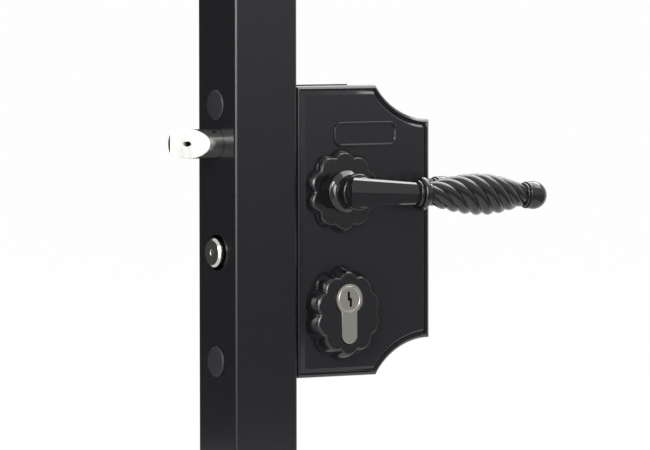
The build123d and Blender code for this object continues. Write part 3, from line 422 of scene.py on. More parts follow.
def drawn(form, face, matrix):
    """Draw a face out to its transformed copy; a lone outline also stays as the other end."""
    walled = len(face.edges[0].link_faces) > 1
    grown = bmesh.ops.extrude_face_region(form, geom=[face])["geom"]
    top = next(item for item in grown if isinstance(item, bmesh.types.BMFace))
    bmesh.ops.transform(form, matrix=matrix, verts=top.verts)
    if walled:
        bmesh.ops.delete(form, geom=[face], context="FACES_ONLY")
    return top


def cover_section(inset, depth):
    """Cover's outline drawn in by an inset, at its distance from the middle of the lock."""
    radius = HOLLOW_RADIUS + inset
    top = COVER_HALF_HEIGHT - inset
    top_x = COVER_RIGHT - sqrt(radius ** 2 - (HOLLOW_LEVEL - top) ** 2)
    side = HOLLOW_LEVEL - sqrt(radius ** 2 - inset ** 2)
    turn = degrees(asin((HOLLOW_LEVEL - top) / radius) + asin(inset / radius)) - 90
    form, _ = outline(
        ((COVER_LEFT + inset, top),),
        ((COVER_LEFT + inset, -top),),
        ((top_x, -top), (COVER_RIGHT, -HOLLOW_LEVEL), turn, HOLLOW_STEPS),
        ((COVER_RIGHT - inset, side), (COVER_RIGHT, HOLLOW_LEVEL), turn, HOLLOW_STEPS),
    )
    bmesh.ops.translate(form, vec=(0, -depth, LOCK_HEIGHT), verts=form.verts)
    return form


def stacked(form, *sections):
    """Draw an outline out to like ones that lie one before the other."""
    face = form.faces[:][0]
    for section in sections:
        face = drawn(form, face, Matrix.Identity(4))
        for corner, goal in zip(face.verts, section.faces[:][0].verts):
            corner.co = goal.co
        section.free()
    bmesh.ops.recalc_face_normals(form, faces=form.faces)
    return form


def mirrored(form):
    """Copy of a front piece for the rear."""
    rear = form.copy()
    bmesh.ops.transform(rear, matrix=Matrix.Diagonal((1, -1, 1, 1)), verts=rear.verts)
    bmesh.ops.recalc_face_normals(rear, faces=rear.faces)
    return rear


def cylinder_outline(gap):
    """Profile cylinder's section: a round head and a narrower stem with a round end."""
    head = CYLINDER_HEAD + gap
    stem = CYLINDER_STEM + gap
    shoulder = sqrt(head ** 2 - stem ** 2)
    turn = 360 - 2 * degrees(asin(stem / head))
    form, face = outline(
        ((stem, -shoulder), (0, 0), turn, HEAD_STEPS),
        ((-stem, -CYLINDER_FOOT), (0, -CYLINDER_FOOT), 180, STEM_STEPS),
    )
    bmesh.ops.translate(form, vec=(HANDLE_X, 0, CYLINDER_HEIGHT), verts=form.verts)
    return form, face


def cylinder_opening():
    """Through-cut that leaves the cylinder its gap."""
    form, face = cylinder_outline(CYLINDER_GAP)
    bmesh.ops.translate(form, vec=(0, PAST_CYLINDER, 0), verts=form.verts)
    drawn(form, face, Matrix.Translation((0, -2 * PAST_CYLINDER, 0)))
    bmesh.ops.recalc_face_normals(form, faces=form.faces)
    return form


def handle_opening(radius):
    """Round cut on the handle's axis through a front piece."""
    return rod(radius, (HANDLE_X, -PAST_COVER, HANDLE_HEIGHT), (HANDLE_X, 0, HANDLE_HEIGHT))


def screw_sink(x, level):
    """Countersunk hole through the plate."""
    place = Matrix.Translation((x, -COVER_FRONT, LOCK_HEIGHT + level)) @ FORWARDS
    return turned(SINK_PROFILE, place, SINK_STEPS)


def cover_plate(*sinks):
    """Stepped plate with the handle's and the cylinder's openings and any screw holes."""
    plate = stacked(*[cover_section(inset, depth) for inset, depth in BORDER_STEPS])
    return combined(plate, joined(handle_opening(HANDLE_OPENING), cylinder_opening(), *sinks))


# The coating is glossy, but follows the casting's slow waves and its fine texture, so that
# reflections wander and soften.
coating, tree, shader, place = finish_named(
    "gloss_coated_casting", COATING_BLACK, Specular_IOR_Level=0.45)
cast = add(tree, "TexNoise", {"Vector": place, "Scale": 1000 / CAST_WIDTH, "Detail": 2.0})
fine = add(tree, "TexNoise", {"Vector": place, "Scale": 1000 / FINE_WIDTH, "Detail": 2.0})
polish = add(tree, "MapRange", {"Value": cast.outputs["Fac"], "To Min": 0.12, "To Max": 0.2})
waves = add(tree, "Bump", {"Height": cast.outputs["Fac"], "Strength": 0.1, "Distance": 0.0002})
bump = add(tree, "Bump", {"Height": fine.outputs["Fac"], "Strength": 0.08, "Distance": 0.00004,
                          "Normal": waves.outputs["Normal"]})
tree.links.new(polish.outputs["Result"], shader.inputs["Roughness"])
tree.links.new(bump.outputs["Normal"], shader.inputs["Normal"])

frame_x, frame_z = FRAME_HALF
plain_frame, _ = outline(
    ((-frame_x, -frame_z),), ((frame_x, -frame_z),), ((frame_x, frame_z),), ((-frame_x, frame_z),))
bmesh.ops.bevel(plain_frame, geom=plain_frame.verts[:], affect="VERTICES", offset=FRAME_CORNER,
                segments=FRAME_CORNER_STEPS, profile=0.5, material=-1)
field = plain_frame.faces[:][0]
field = drawn(plain_frame, field, Matrix.Translation((0, -FRAME_RISE - FRAME_SINK, 0)))
bmesh.ops.inset_region(plain_frame, faces=[field], thickness=FRAME_BAND, depth=0.0, use_even_offset=True)
drawn(plain_frame, field, Matrix.Translation((0, FRAME_RISE + FRAME_SINK, 0)))
bmesh.ops.translate(plain_frame, vec=(FRAME_CENTRE[0], FRAME_SINK - COVER_FRONT, FRAME_CENTRE[1]),
                    verts=plain_frame.verts)
plain_frame = eased(plain_frame, FRAME_EDGE, 3)

rear_plate = joined(cover_plate(*[screw_sink(*place) for place in SCREW_PLACES]), plain_frame.copy())
piece("rear_plate", mirrored(rear_plate), coating, "lock", "black_casting", "rear_cover")
piece("front_plate", joined(cover_plate(), plain_frame), coating, "lock", "black_casting", "front_cover")

# Rosettes: black-lacquered castings with ten round lobes, an upright foot, a tapering wall
# and a turned-in rim. The round one carries the handle's plastic bearing, the taller one
# stands round the cylinder so that it can't be gripped.
LOBES = 10
LOBE_DEPTH = 0.11
LOBE_STEPS = 14
# Half width and half height at the foot, at the top of the wall and at the rim
HANDLE_ROSETTE = ((23.0, 23.0), (21.925, 21.925), (20.85, 20.85))
CYLINDER_ROSETTE = ((23.5, 26.3), (20.9, 23.6), (19.6, 22.3))
HANDLE_ROSETTE_THICKNESS = 5.0
CYLINDER_ROSETTE_THICKNESS = 8.6
CYLINDER_ROSETTE_DROP = 8.0
ROSETTE_FOOT = 1.2
ROSETTE_RIM = 1.6
ROSETTE_EDGE = 0.55
BEARING_OPENING = 10.45
LACQUER_BLACK = "#17181a"
LACQUER_WAVE = 5.56

# Lacquer is the glossiest black of the lock: nearly a mirror, with the casting's waves
# still showing in its highlights.
lacquer, tree, shader, place = finish_named(
    "high_gloss_lacquered_casting", LACQUER_BLACK, Specular_IOR_Level=0.55)
cast = add(tree, "TexNoise", {"Vector": place, "Scale": 1000 / LACQUER_WAVE, "Detail": 2.0})
polish = add(tree, "MapRange", {"Value": cast.outputs["Fac"], "To Min": 0.05, "To Max": 0.11})
bump = add(tree, "Bump", {"Height": cast.outputs["Fac"], "Strength": 0.12, "Distance": 0.0002})
tree.links.new(polish.outputs["Result"], shader.inputs["Roughness"])
tree.links.new(bump.outputs["Normal"], shader.inputs["Normal"])


def lobed_outline(lobes, depth, steps):
    """Ring of equal round lobes of unit size, the first one upright."""
    half = pi / lobes
    side = (1 - depth) * cos(half)
    centre = (1 - (1 - depth) ** 2) / (2 * (1 - side))
    swing = degrees(atan2((1 - depth) * sin(half), side - centre))
    runs = []
    for number in range(lobes):
        crest = pi / 2 + 2 * pi * number / lobes
        start = ((1 - depth) * cos(crest - half), (1 - depth) * sin(crest - half))
        runs.append((start, (centre * cos(crest), centre * sin(crest)), 2 * swing, steps))
    return outline(*runs)


def rosette(sizes, thickness, height):
    """Lobed disc on the cover: its foot, its tapering wall and its rim, each with its own size."""
    form, face = lobed_outline(LOBES, LOBE_DEPTH, LOBE_STEPS)
    bmesh.ops.scale(form, vec=(sizes[0][0], 1, sizes[0][1]), verts=form.verts)
    rises = (ROSETTE_FOOT, thickness - ROSETTE_FOOT - ROSETTE_RIM, ROSETTE_RIM)
    for old, new, rise in zip((sizes[0], *sizes), sizes, rises):
        shrink = Matrix.Diagonal((new[0] / old[0], 1, new[1] / old[1], 1))
        face = drawn(form, face, Matrix.Translation((0, -rise, 0)) @ shrink)
    bmesh.ops.translate(form, vec=(HANDLE_X, -COVER_FRONT, height), verts=form.verts)
    bmesh.ops.recalc_face_normals(form, faces=form.faces)
    return form


round_rosette = rosette(HANDLE_ROSETTE, HANDLE_ROSETTE_THICKNESS, HANDLE_HEIGHT)
round_rosette = eased(combined(round_rosette, handle_opening(BEARING_OPENING)), ROSETTE_EDGE, 3)
tall_height = CYLINDER_HEIGHT - CYLINDER_ROSETTE_DROP
tall_rosette = rosette(CYLINDER_ROSETTE, CYLINDER_ROSETTE_THICKNESS, tall_height)
tall_rosette = eased(combined(tall_rosette, cylinder_opening()), ROSETTE_EDGE, 3)
for name, form, node in (
    ("rear_round_rosette", mirrored(round_rosette), "rear_handle_rosette"),
    ("rear_tall_rosette", mirrored(tall_rosette), "rear_cylinder_rosette"),
    ("round_rosette", round_rosette, "front_handle_rosette"),
    ("tall_rosette", tall_rosette, "front_cylinder_rosette"),
):
    piece(name, form, lacquer, "lock", "black_casting", node)

# Levers: one black-lacquered casting each, of a turned neck, a faceted arm that swings out
# from it, a beaded collar, a six-start twisted grip and a ball end. The rear one is the
# front one's mirror image.
NECK_PROFILE = (
    (0, 19), (9, 19), (9, 23.3),
    (11.65, 23.3), (11.65, 24.5), (10.85, 25.3), (9.6, 26.4), (8.8, 27.8), (8.4, 29.3),
    (8.4, 34), (9.35, 34.8), (10.05, 35.3), (10.15, 36), (10.05, 36.7), (9.35, 37.2),
    (8.4, 37.2), (8.4, 40.7), (7.6, 41.5), (0, 41.5),
)
NECK_EDGE = 0.3
SOCKET_HALF = 4.05
SOCKET_START = 18.0
SOCKET_END = 35.3
GRUB_HOLE = 2.55
GRUB_DEPTH = 29.0
GRUB_DROP = 12.0
ARM_FACETS = (
    (-1.0, 0.0), (-0.62, -0.84), (-0.2, -1.0), (0.75, -1.0), (1.0, -0.7),
    (1.0, 0.7), (0.75, 1.0), (-0.2, 1.0), (-0.62, 0.84),
)
# Height, depth and front distance on the neck's axis, and at the arm's reach
ARM_ROOT = (15.4, 7.5, 40.5)
ARM_TIP = (11.9, 10.4, 45.0)
ARM_START = -8.4
ARM_END = 31.8
ARM_REACH = 31.3
ARM_CORNER = 5.0
ARM_CORNER_STEPS = 10
ARM_EDGE = 0.35
ROUNDING_LOW = (ARM_START, -60.0, -8.7)
ROUNDING_HIGH = (ARM_START + 60.0, -20.0, 8.7)
GRIP_DEPTH = 45.0
GRIP_START = 39.9
GRIP_LENGTH = 62.8
GRIP_STARTS = 6
GRIP_LEAD = 48.0
GRIP_GROOVE = 0.13
GRIP_STEPS = 90
RIDGE_STEPS = 10
GRIP_NEAR = 6.35
GRIP_WIDEST = 11.55
GRIP_FAR = 6.0
GRIP_WIDEST_SHARE = 0.55
# Start, width and diameter
COLLAR_RINGS = (
    (31.3, 2.0, 15.0), (33.3, 3.6, 18.6), (36.9, 1.6, 14.4),
    (102.7, 1.7, 13.6), (104.4, 1.7, 15.0),
)
COLLAR_NECK = 5.9
COLLAR_NECK_START = 38.3
COLLAR_NECK_END = 40.2
RING_CROWN = 0.35
RING_STEPS = 8
RING_SIDES = 64
BALL_RADIUS = 7.8
BALL_CENTRE = 109.8
BALL_SEAT = 106.1
BALL_SIDES = 64
BALL_RINGS = 48
DROOP = Matrix.Rotation(radians(2), 4, "Y")
SIDEWAYS = Matrix.Rotation(radians(90), 4, "Y")
QUARTER_TURN = Matrix.Rotation(radians(90), 4, "Z")


def arm_size(reach):
    """Height, depth and front distance of the arm at a reach from its axis."""
    share = reach / ARM_REACH
    return [root + (tip - root) * share for root, tip in zip(ARM_ROOT, ARM_TIP)]


def arm():
    """Faceted section drawn out along the arm, then its near end rounded."""
    height, depth, front = arm_size(ARM_START)
    form, face = outline(*[((across * depth / 2, up * height / 2),) for across, up in ARM_FACETS])
    bmesh.ops.transform(form, matrix=QUARTER_TURN, verts=form.verts)
    bmesh.ops.translate(form, vec=(ARM_START, 0, 0), verts=form.verts)
    end_height, end_depth, end_front = arm_size(ARM_END)
    taper = Matrix.Diagonal((1, end_depth / depth, end_height / height, 1))
    drawn(form, face, Matrix.Translation((ARM_END - ARM_START, front - end_front, 0)) @ taper)
    bmesh.ops.translate(form, vec=(0, -front, 0), verts=form.verts)
    bmesh.ops.recalc_face_normals(form, faces=form.faces)
    rounding = bar(ROUNDING_LOW, ROUNDING_HIGH)
    near = [edge for edge in rounding.edges
            if all(abs(vert.co.x - ARM_START) < 0.1 for vert in edge.verts)
            and abs(edge.verts[0].co.y - edge.verts[1].co.y) > 1]
    bmesh.ops.bevel(rounding, geom=near, affect="EDGES", offset=ARM_CORNER,
                    segments=ARM_CORNER_STEPS, profile=0.5, material=-1)
    return eased(combined(form, rounding, how="INTERSECT"), ARM_EDGE)


def grip_radius(share):
    """Barrel shape of the grip, from a quarter wave up to its widest place and one down from it."""
    if share < GRIP_WIDEST_SHARE:
        swell = sin(pi / 2 * share / GRIP_WIDEST_SHARE)
        return GRIP_NEAR + (GRIP_WIDEST - GRIP_NEAR) * swell
    fall = cos(pi / 2 * (share - GRIP_WIDEST_SHARE) / (1 - GRIP_WIDEST_SHARE))
    return GRIP_FAR + (GRIP_WIDEST - GRIP_FAR) * fall


def twisted_grip():
    """Six-lobed section drawn along the grip's axis with a steady turn."""
    form, face = lobed_outline(GRIP_STARTS, GRIP_GROOVE, RIDGE_STEPS)
    size = grip_radius(0)
    bmesh.ops.scale(form, vec=(size, 1, size), verts=form.verts)
    bmesh.ops.transform(form, matrix=QUARTER_TURN, verts=form.verts)
    step = GRIP_LENGTH / GRIP_STEPS
    twist = Matrix.Rotation(2 * pi * step / GRIP_LEAD, 4, "X")
    for number in range(1, GRIP_STEPS + 1):
        grown = grip_radius(number / GRIP_STEPS) / size
        size *= grown
        reach = number * step
        onward = Matrix.Translation((reach, 0, 0)) @ twist @ Matrix.Diagonal((1, grown, grown, 1))
        face = drawn(form, face, onward @ Matrix.Translation((step - reach, 0, 0)))
    bmesh.ops.translate(form, vec=(GRIP_START, 0, 0), verts=form.verts)
    return form


def ring(start, width, diameter):
    """Rounded bead on the grip's axis."""
    rise = RING_CROWN * width
    base = diameter / 2 - rise
    points = [(0, start), (base, start)]
    for number in range(1, RING_STEPS):
        angle = pi * number / RING_STEPS
        points.append((base + rise * sin(angle), start + width * (1 - cos(angle)) / 2))
    points += [(base, start + width), (0, start + width)]
    return turned(points, SIDEWAYS, RING_SIDES)


def ball():
    """Ball end, cut flat where it meets the last bead."""
    form = bmesh.new()
    bmesh.ops.create_uvsphere(form, u_segments=BALL_SIDES, v_segments=BALL_RINGS, radius=BALL_RADIUS,
                              matrix=SIDEWAYS)
    bmesh.ops.translate(form, vec=(BALL_CENTRE, 0, 0), verts=form.verts)
    return sliced(form, (BALL_SEAT, 0, 0), (-1, 0, 0))


collar_neck = rod(COLLAR_NECK, (COLLAR_NECK_START, 0, 0), (COLLAR_NECK_END, 0, 0))
grip = joined(twisted_grip(), collar_neck, ball(), *[ring(*sizes) for sizes in COLLAR_RINGS])
bmesh.ops.translate(grip, vec=(0, -GRIP_DEPTH, 0), verts=grip.verts)
lever = joined(arm(), grip)
bmesh.ops.transform(lever, matrix=DROOP, verts=lever.verts)
neck = combined(
    eased(turned(NECK_PROFILE, FORWARDS), NECK_EDGE),
    bar((-SOCKET_HALF, -SOCKET_END, -SOCKET_HALF), (SOCKET_HALF, -SOCKET_START, SOCKET_HALF)),
    rod(GRUB_HOLE, (0, -GRUB_DEPTH, -GRUB_DROP), (0, -GRUB_DEPTH, 0), SMALL_STEPS),
)
lever = joined(neck, lever)
bmesh.ops.translate(lever, vec=(HANDLE_X, 0, HANDLE_HEIGHT), verts=lever.verts)
piece("rear_lever", mirrored(lever), lacquer, "lever", "black_casting", "rear_handle")
piece("front_lever", lever, lacquer, "lever", "black_casting", "front_handle")

# Profile cylinder: brass, satin nickel plated. The body is a bar of the standard section,
# with a gap for the cam. Its face is plain. Each plug turns in it: a face with a raised
# rim and the stepped keyway. The front one's journal carries the steel cam.
CYLINDER_HALF = 27.0
CYLINDER_EDGE = 0.3
BORE_PROFILE = (
    (0, -28), (7.35, -28), (7.35, -25.6), (6.5, -25.6),
    (6.5, 25.6), (7.35, 25.6), (7.35, 28), (0, 28),
)
CAM_GAP_HALF = 5.2
CAM_GAP_REACH = 17.0
CAM_GAP_DROP = 15.6
SCREW_HOLE = 2.55
SCREW_DROP = 20.0
SCREW_REACH = 10.0
PLUG_PROFILE = (
    (0, 27.05), (6.3, 27.05), (6.4, 27.4), (7.1, 27.4), (7.3, 27.2), (7.3, 25.65),
    (6.45, 25.65), (6.45, 5.2), (5, 5.2), (5, 0.15), (0, 0.15),
)
PLUG_EDGE = 0.08
KEYWAY_END = -3.4
KEYWAY_OUT = -28.0
# Left, right, lower and upper side, from the plug's axis
KEYWAY_STEPS = ((-1.4, 0.1, 0.0, 4.2), (-1.4, 1.4, -0.75, 0.75), (-0.1, 1.4, -4.2, 0.0))
NICKEL = "#c8c5bc"
BRUSH_WIDTH = 0.385

# Satin nickel is a warm grey metal with soft highlights, brushed from top to bottom. The
# brush's lines are drawn coarse enough to show.
nickel, tree, shader, place = finish_named("satin_nickel_plate", NICKEL, Metallic=1.0)
brush = add(tree, "Mapping", {"Vector": place, "Scale": (1.0, 1.0, 0.03)})
lines = add(tree, "TexNoise", {"Vector": brush.outputs["Vector"], "Scale": 1000 / BRUSH_WIDTH,
                               "Detail": 2.0})
polish = add(tree, "MapRange", {"Value": lines.outputs["Fac"], "To Min": 0.24, "To Max": 0.36})
bump = add(tree, "Bump", {"Height": lines.outputs["Fac"], "Strength": 0.06, "Distance": 0.00002})
tree.links.new(polish.outputs["Result"], shader.inputs["Roughness"])
tree.links.new(bump.outputs["Normal"], shader.inputs["Normal"])


def cylinder_bar(left, right, front, back, low, high):
    """Block given from the cylinder's axis."""
    near_corner = (HANDLE_X + left, front, CYLINDER_HEIGHT + low)
    far_corner = (HANDLE_X + right, back, CYLINDER_HEIGHT + high)
    return bar(near_corner, far_corner)


cylinder, face = cylinder_outline(0)
bmesh.ops.translate(cylinder, vec=(0, CYLINDER_HALF, 0), verts=cylinder.verts)
drawn(cylinder, face, Matrix.Translation((0, -2 * CYLINDER_HALF, 0)))
bmesh.ops.recalc_face_normals(cylinder, faces=cylinder.faces)
bore = Matrix.Translation((HANDLE_X, 0, CYLINDER_HEIGHT)) @ FORWARDS
screw_height = CYLINDER_HEIGHT - SCREW_DROP
cylinder = combined(
    eased(cylinder, CYLINDER_EDGE),
    turned(BORE_PROFILE, bore),
    cylinder_bar(-CAM_GAP_REACH, CAM_GAP_REACH, -CAM_GAP_HALF, CAM_GAP_HALF, -CAM_GAP_DROP, CAM_GAP_REACH),
    rod(SCREW_HOLE, (HANDLE_X - SCREW_REACH, 0, screw_height), (HANDLE_X + SCREW_REACH, 0, screw_height),
        SMALL_STEPS),
)
piece("profile_cylinder", cylinder, nickel, "lock", "nickel_brass", "cylinder_body")

plug = combined(
    eased(turned(PLUG_PROFILE, bore), PLUG_EDGE),
    *[cylinder_bar(left, right, KEYWAY_OUT, KEYWAY_END, low, high)
      for left, right, low, high in KEYWAY_STEPS],
)
piece("rear_keyed_plug", mirrored(plug), nickel, "rear_key_plug", "nickel_brass", "rear_plug")
piece("front_keyed_plug", plug, nickel, "front_key_plug", "nickel_brass", "front_plug")

# Return springs: coils of round drawn spring wire inside the case, one behind the latch's
# tail and one beside the follower's lower arm. In the lock they shorten as the handle turns; these coils
# keep one length.
SPRING_WIRE = "#8f9193"
WIRE_SKIN = 0.667
WIRE_SIDES = 12
TURN_STEPS = 32
# Wire, outer diameter, turns, start, end and height
LATCH_COIL = (1.2, 10.2, 6, 46.57, 75.9, LATCH_HEIGHT)
HANDLE_COIL = (1.1, 7.0, 7, 24.1, 51.18, 157.996)

# Drawn wire is a dull grey steel with a faintly uneven skin, drawn coarse enough to show.
wire, tree, shader, place = finish_named("drawn_spring_wire", SPRING_WIRE, Metallic=1.0, Roughness=0.32)
lines = add(tree, "TexNoise", {"Vector": place, "Scale": 1000 / WIRE_SKIN, "Detail": 2.0})
bump = add(tree, "Bump", {"Height": lines.outputs["Fac"], "Strength": 0.1, "Distance": 0.00002})
tree.links.new(bump.outputs["Normal"], shader.inputs["Normal"])


def coil(thickness, diameter, turns, start, end, height):
    """Round wire spun along X."""
    form = bmesh.new()
    radius = (diameter - thickness) / 2
    upright = Matrix.Translation((start + thickness / 2, radius, 0))
    bmesh.ops.create_circle(form, cap_ends=True, segments=WIRE_SIDES, radius=thickness / 2, matrix=upright)
    steps = TURN_STEPS * turns
    pitch = (end - start - thickness) / steps
    circle = form.verts[:] + form.edges[:] + form.faces[:]
    bmesh.ops.spin(form, geom=circle, cent=(0, 0, 0), axis=(1, 0, 0), dvec=(pitch, 0, 0),
                   angle=2 * pi * turns, steps=steps)
    bmesh.ops.translate(form, vec=(0, 0, height), verts=form.verts)
    return form


for name, node, joint, sizes, fixed_end, keep in (
    ("latch_return_coil", "latch_spring", "latch_slide", LATCH_COIL, LATCH_COIL[4], 0.316),
    ("handle_return_coil", "handle_spring", "handle_turn", HANDLE_COIL, HANDLE_COIL[3], 0.607),
):
    made = piece(name, coil(*sizes), wire, "lock", "spring_wire", node)
    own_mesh(made)

# Pieces whose CAD shape is right: the case, its lid, bushes, screws, bolts, washers, pins,
# tails, spindle, follower, cam and leaf spring. They get the finish of their real material
# and keep their mesh.
CASE_BLACK = "#18191b"
SAND_GRAIN = 1.11
ZINC = "#b4b8be"
ZINC_DARK = "#a9aeb6"
ZINC_LIGHT = "#c3c6c9"
ZINC_CLOUD = 4.17

# The cast case is matt: its coating keeps the sand-like skin of the casting, whose grain is
# drawn coarse enough to show.
case_coat, tree, shader, place = finish_named(
    "coated_cast_case", CASE_BLACK, Roughness=0.5, Specular_IOR_Level=0.4)
sand = add(tree, "TexNoise", {"Vector": place, "Scale": 1000 / SAND_GRAIN, "Detail": 3.0})
bump = add(tree, "Bump", {"Height": sand.outputs["Fac"], "Strength": 0.2, "Distance": 0.00008})
tree.links.new(bump.outputs["Normal"], shader.inputs["Normal"])

# Zinc plate is a bright bluish grey that clouds from dark to light and from satin to dull.
zinc, tree, shader, place = finish_named("bright_zinc_plate", ZINC, Metallic=1.0)
cloud = add(tree, "TexNoise", {"Vector": place, "Scale": 1000 / ZINC_CLOUD, "Detail": 4.0})
polish = add(tree, "MapRange", {"Value": cloud.outputs["Fac"], "To Min": 0.28, "To Max": 0.5})
tint = add(tree, "ValToRGB", {"Fac": cloud.outputs["Fac"]})
tint.color_ramp.elements[0].color = linear(ZINC_DARK)
tint.color_ramp.elements[1].color = linear(ZINC_LIGHT)
tree.links.new(polish.outputs["Result"], shader.inputs["Roughness"])
tree.links.new(tint.outputs["Color"], shader.inputs["Base Color"])

finishes = {
    "black_plastic": plastic,
    "cast_case": case_coat,
    "stainless": stainless,
    "zinc_plate": zinc,
    "spring_wire": wire,
}
for row in frame["record"]["subparts"]:
    node = frame["nodes"][row["node"]]
    if not node.hide_render:
        node.data.materials.clear()
        node.data.materials.append(finishes[row["material_slot"]])

# Studio: a pale floor and a white surround that metal and gloss also see, two soft lamps,
# and a dim grey tent round the object that keeps the reflections in its black faces dark.
# The tent and the roof window show in reflections alone.
FLOOR = "#e9e9ea"
FLOOR_HALF = 60.0
FLOOR_WHITENESS = 0.98
SURROUND_LIGHT = 0.5
BLACK = "#000000"
WHITE = (1, 1, 1, 1)
TENT_X = 0.05
TENT_FOOT = 0.3
TENT_TOP = 1.6
TENT_HEIGHT = 1.2
TENT_LIFT = 0.001
TENT_SIDES = 96
TENT_DIM = 0.08
TENT_LIT = 0.7
TENT_FRONT = (0.54, -0.84, 0.0)
WINDOW_SIDE = (cos(radians(201)), sin(radians(201)), 0.0)
WINDOW_LIT = 10.0
ROOF_LIT = 7.0
ROOF_HALF = 0.4
ROOF_PLACE = (0.9, 0.5, 1.19)
BEVEL_OPENING = (radians(-141.6), radians(-129.6))
RIGHT_OPENING = (radians(-12), radians(60))


def stage_sheet(name, form, material):
    """Sheet of the studio, which isn't part of the object."""
    mesh = bpy.data.meshes.new(name)
    form.to_mesh(mesh)
    form.free()
    mesh.materials.append(material)
    made = bpy.data.objects.new(name, mesh)
    bpy.context.scene.collection.objects.link(made)
    return made


def lamp(name, place, target, size, power):
    """Soft rectangular lamp that points at a target."""
    data = bpy.data.lights.new(name, "AREA")
    data.shape = "RECTANGLE"
    data.size, data.size_y = size
    data.energy = power
    made = bpy.data.objects.new(name, data)
    made.location = place
    made.rotation_euler = (Vector(target) - Vector(place)).to_track_quat("-Z", "Y").to_euler()
    bpy.context.scene.collection.objects.link(made)
    return made


def seen_straight(tree):
    """1 where the camera, a reflection or a clear material sees the surface, and otherwise 0."""
    rays = add(tree, "LightPath", {})
    seen = rays.outputs["Is Camera Ray"]
    for kind in ("Is Glossy Ray", "Is Transmission Ray"):
        seen = add(tree, "Math", {0: seen, 1: rays.outputs[kind]}, operation="MAXIMUM").outputs[0]
    return seen


floor_paint, tree, shader, place = finish_named("pale_floor", FLOOR, Roughness=0.9, Specular_IOR_Level=0.1)
share = add(tree, "Math", {0: seen_straight(tree), 1: FLOOR_WHITENESS}, operation="MULTIPLY")
white = add(tree, "Emission", {"Color": WHITE, "Strength": 1.0})
mix = add(tree, "MixShader", {0: share.outputs[0], 1: shader.outputs[0], 2: white.outputs[0]})
tree.links.new(mix.outputs[0], tree.nodes["Material Output"].inputs["Surface"])
form = bmesh.new()
bmesh.ops.create_grid(form, x_segments=1, y_segments=1, size=FLOOR_HALF)
stage_sheet("floor", form, floor_paint)

world = bpy.data.worlds.new("studio")
bpy.context.scene.world = world
world.use_nodes = True
tree = world.node_tree
surround = tree.nodes["Background"]
surround.inputs["Color"].default_value = WHITE
strength = add(tree, "MapRange", {"Value": seen_straight(tree), "To Min": SURROUND_LIGHT, "To Max": 1.0})
tree.links.new(strength.outputs["Result"], surround.inputs["Strength"])

# The tent's cloth glows most towards the front right, which the plates mirror, and more
# with height. The rosettes' and the necks' left flanks mirror the bright window on its left.
tent_cloth, tree, shader, place = finish_named(
    "grey_tent_cloth", BLACK, Roughness=1.0, Specular_IOR_Level=0.0)
shader.inputs["Emission Color"].default_value = WHITE
side = add(tree, "VectorMath", {0: place, 1: TENT_FRONT}, operation="DOT_PRODUCT")
facing = add(tree, "MapRange", {"Value": side.outputs["Value"], "From Min": -0.35, "From Max": 0.45})
level = add(tree, "SeparateXYZ", {"Vector": place}).outputs["Z"]
rise = add(tree, "MapRange", {"Value": level, "From Min": 0.12, "From Max": 0.3, "To Min": 0.36})
glow = add(tree, "Math", {0: facing.outputs["Result"], 1: rise.outputs["Result"], 2: TENT_DIM / TENT_LIT},
           operation="MULTIPLY_ADD")
glow = add(tree, "Math", {0: glow.outputs[0], 1: TENT_LIT}, operation="MULTIPLY")
around = add(tree, "VectorMath", {0: place, 1: (1.0, 1.0, 0.0)}, operation="MULTIPLY")
around = add(tree, "VectorMath", {0: around.outputs["Vector"]}, operation="NORMALIZE")
turned_to = add(tree, "VectorMath", {0: around.outputs["Vector"], 1: WINDOW_SIDE}, operation="DOT_PRODUCT")
window = add(tree, "MapRange", {"Value": turned_to.outputs["Value"], "From Min": 0.974, "From Max": 0.985})
fade = add(tree, "MapRange", {"Value": level, "From Min": 0.05, "From Max": 0.28, "To Min": 0.2})
window = add(tree, "Math", {0: window.outputs["Result"], 1: fade.outputs["Result"]}, operation="MULTIPLY")
glow = add(tree, "Math", {0: window.outputs[0], 1: WINDOW_LIT, 2: glow.outputs[0]},
           operation="MULTIPLY_ADD")
tree.links.new(glow.outputs[0], shader.inputs["Emission Strength"])

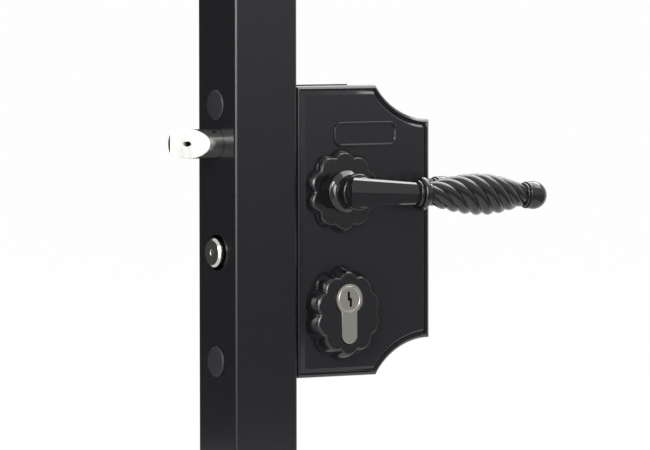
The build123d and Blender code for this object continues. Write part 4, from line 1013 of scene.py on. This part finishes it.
# The tent is open in a slit that the latch's bevel mirrors, and on the right, where the
# rounded right edges see the white surround.
form = bmesh.new()
bmesh.ops.create_cone(form, segments=TENT_SIDES, radius1=TENT_FOOT, radius2=TENT_TOP, depth=TENT_HEIGHT,
                      matrix=Matrix.Translation((TENT_X, 0, TENT_HEIGHT / 2 + TENT_LIFT)))
open_sides = []
for face in form.faces:
    middle = face.calc_center_median()
    side = atan2(middle.y, middle.x - TENT_X)
    if any(low < side < high for low, high in (BEVEL_OPENING, RIGHT_OPENING)):
        open_sides.append(face)
bmesh.ops.delete(form, geom=open_sides, context="FACES")
tent = stage_sheet("grey_tent", form, tent_cloth)

roof_panel, tree, shader, place = finish_named("roof_panel", BLACK, Roughness=1.0, Specular_IOR_Level=0.0)
shader.inputs["Emission Color"].default_value = WHITE
shader.inputs["Emission Strength"].default_value = ROOF_LIT
form = bmesh.new()
bmesh.ops.create_grid(form, x_segments=1, y_segments=1, size=ROOF_HALF,
                      matrix=Matrix.Translation(ROOF_PLACE))
roof = stage_sheet("roof_window", form, roof_panel)
for sheet in (tent, roof):
    sheet.visible_camera = False
    sheet.visible_shadow = False
    sheet.visible_diffuse = False

lamp("overhead", place=(0.55, 0.15, 1.35), target=(0.05, 0, 0.15), size=(1.8, 1.1), power=26.0)
lamp("left_strip", place=(-0.95, -0.93, 0.7), target=(0.0, 0, 0.2), size=(0.2, 0.95), power=11.0)

# Camera: fitted to the photo's straight edges.
YAW = 32.831
PITCH = 2.743
ROLL = -0.069
DISTANCE = 2.9249
TARGET = Vector((0.0502, 0.0, 0.15266))
LENS = 293.4
SENSOR_WIDTH = 36.0
CLIP_END = 200.0
camera = bpy.data.cameras.new("camera")
camera.lens = LENS
camera.sensor_width = SENSOR_WIDTH
camera.clip_end = CLIP_END
viewer = bpy.data.objects.new("camera", camera)
ahead = cos(radians(PITCH))
sight = Vector((sin(radians(YAW)) * ahead, cos(radians(YAW)) * ahead, -sin(radians(PITCH))))
viewer.location = TARGET - sight * DISTANCE
viewer.rotation_mode = "QUATERNION"
upright = sight.to_track_quat("-Z", "Y")
viewer.rotation_quaternion = upright @ Matrix.Rotation(radians(ROLL), 3, "Z").to_quaternion()
bpy.context.scene.collection.objects.link(viewer)
bpy.context.scene.camera = viewer
bpy.context.scene.view_settings.view_transform = "Standard"
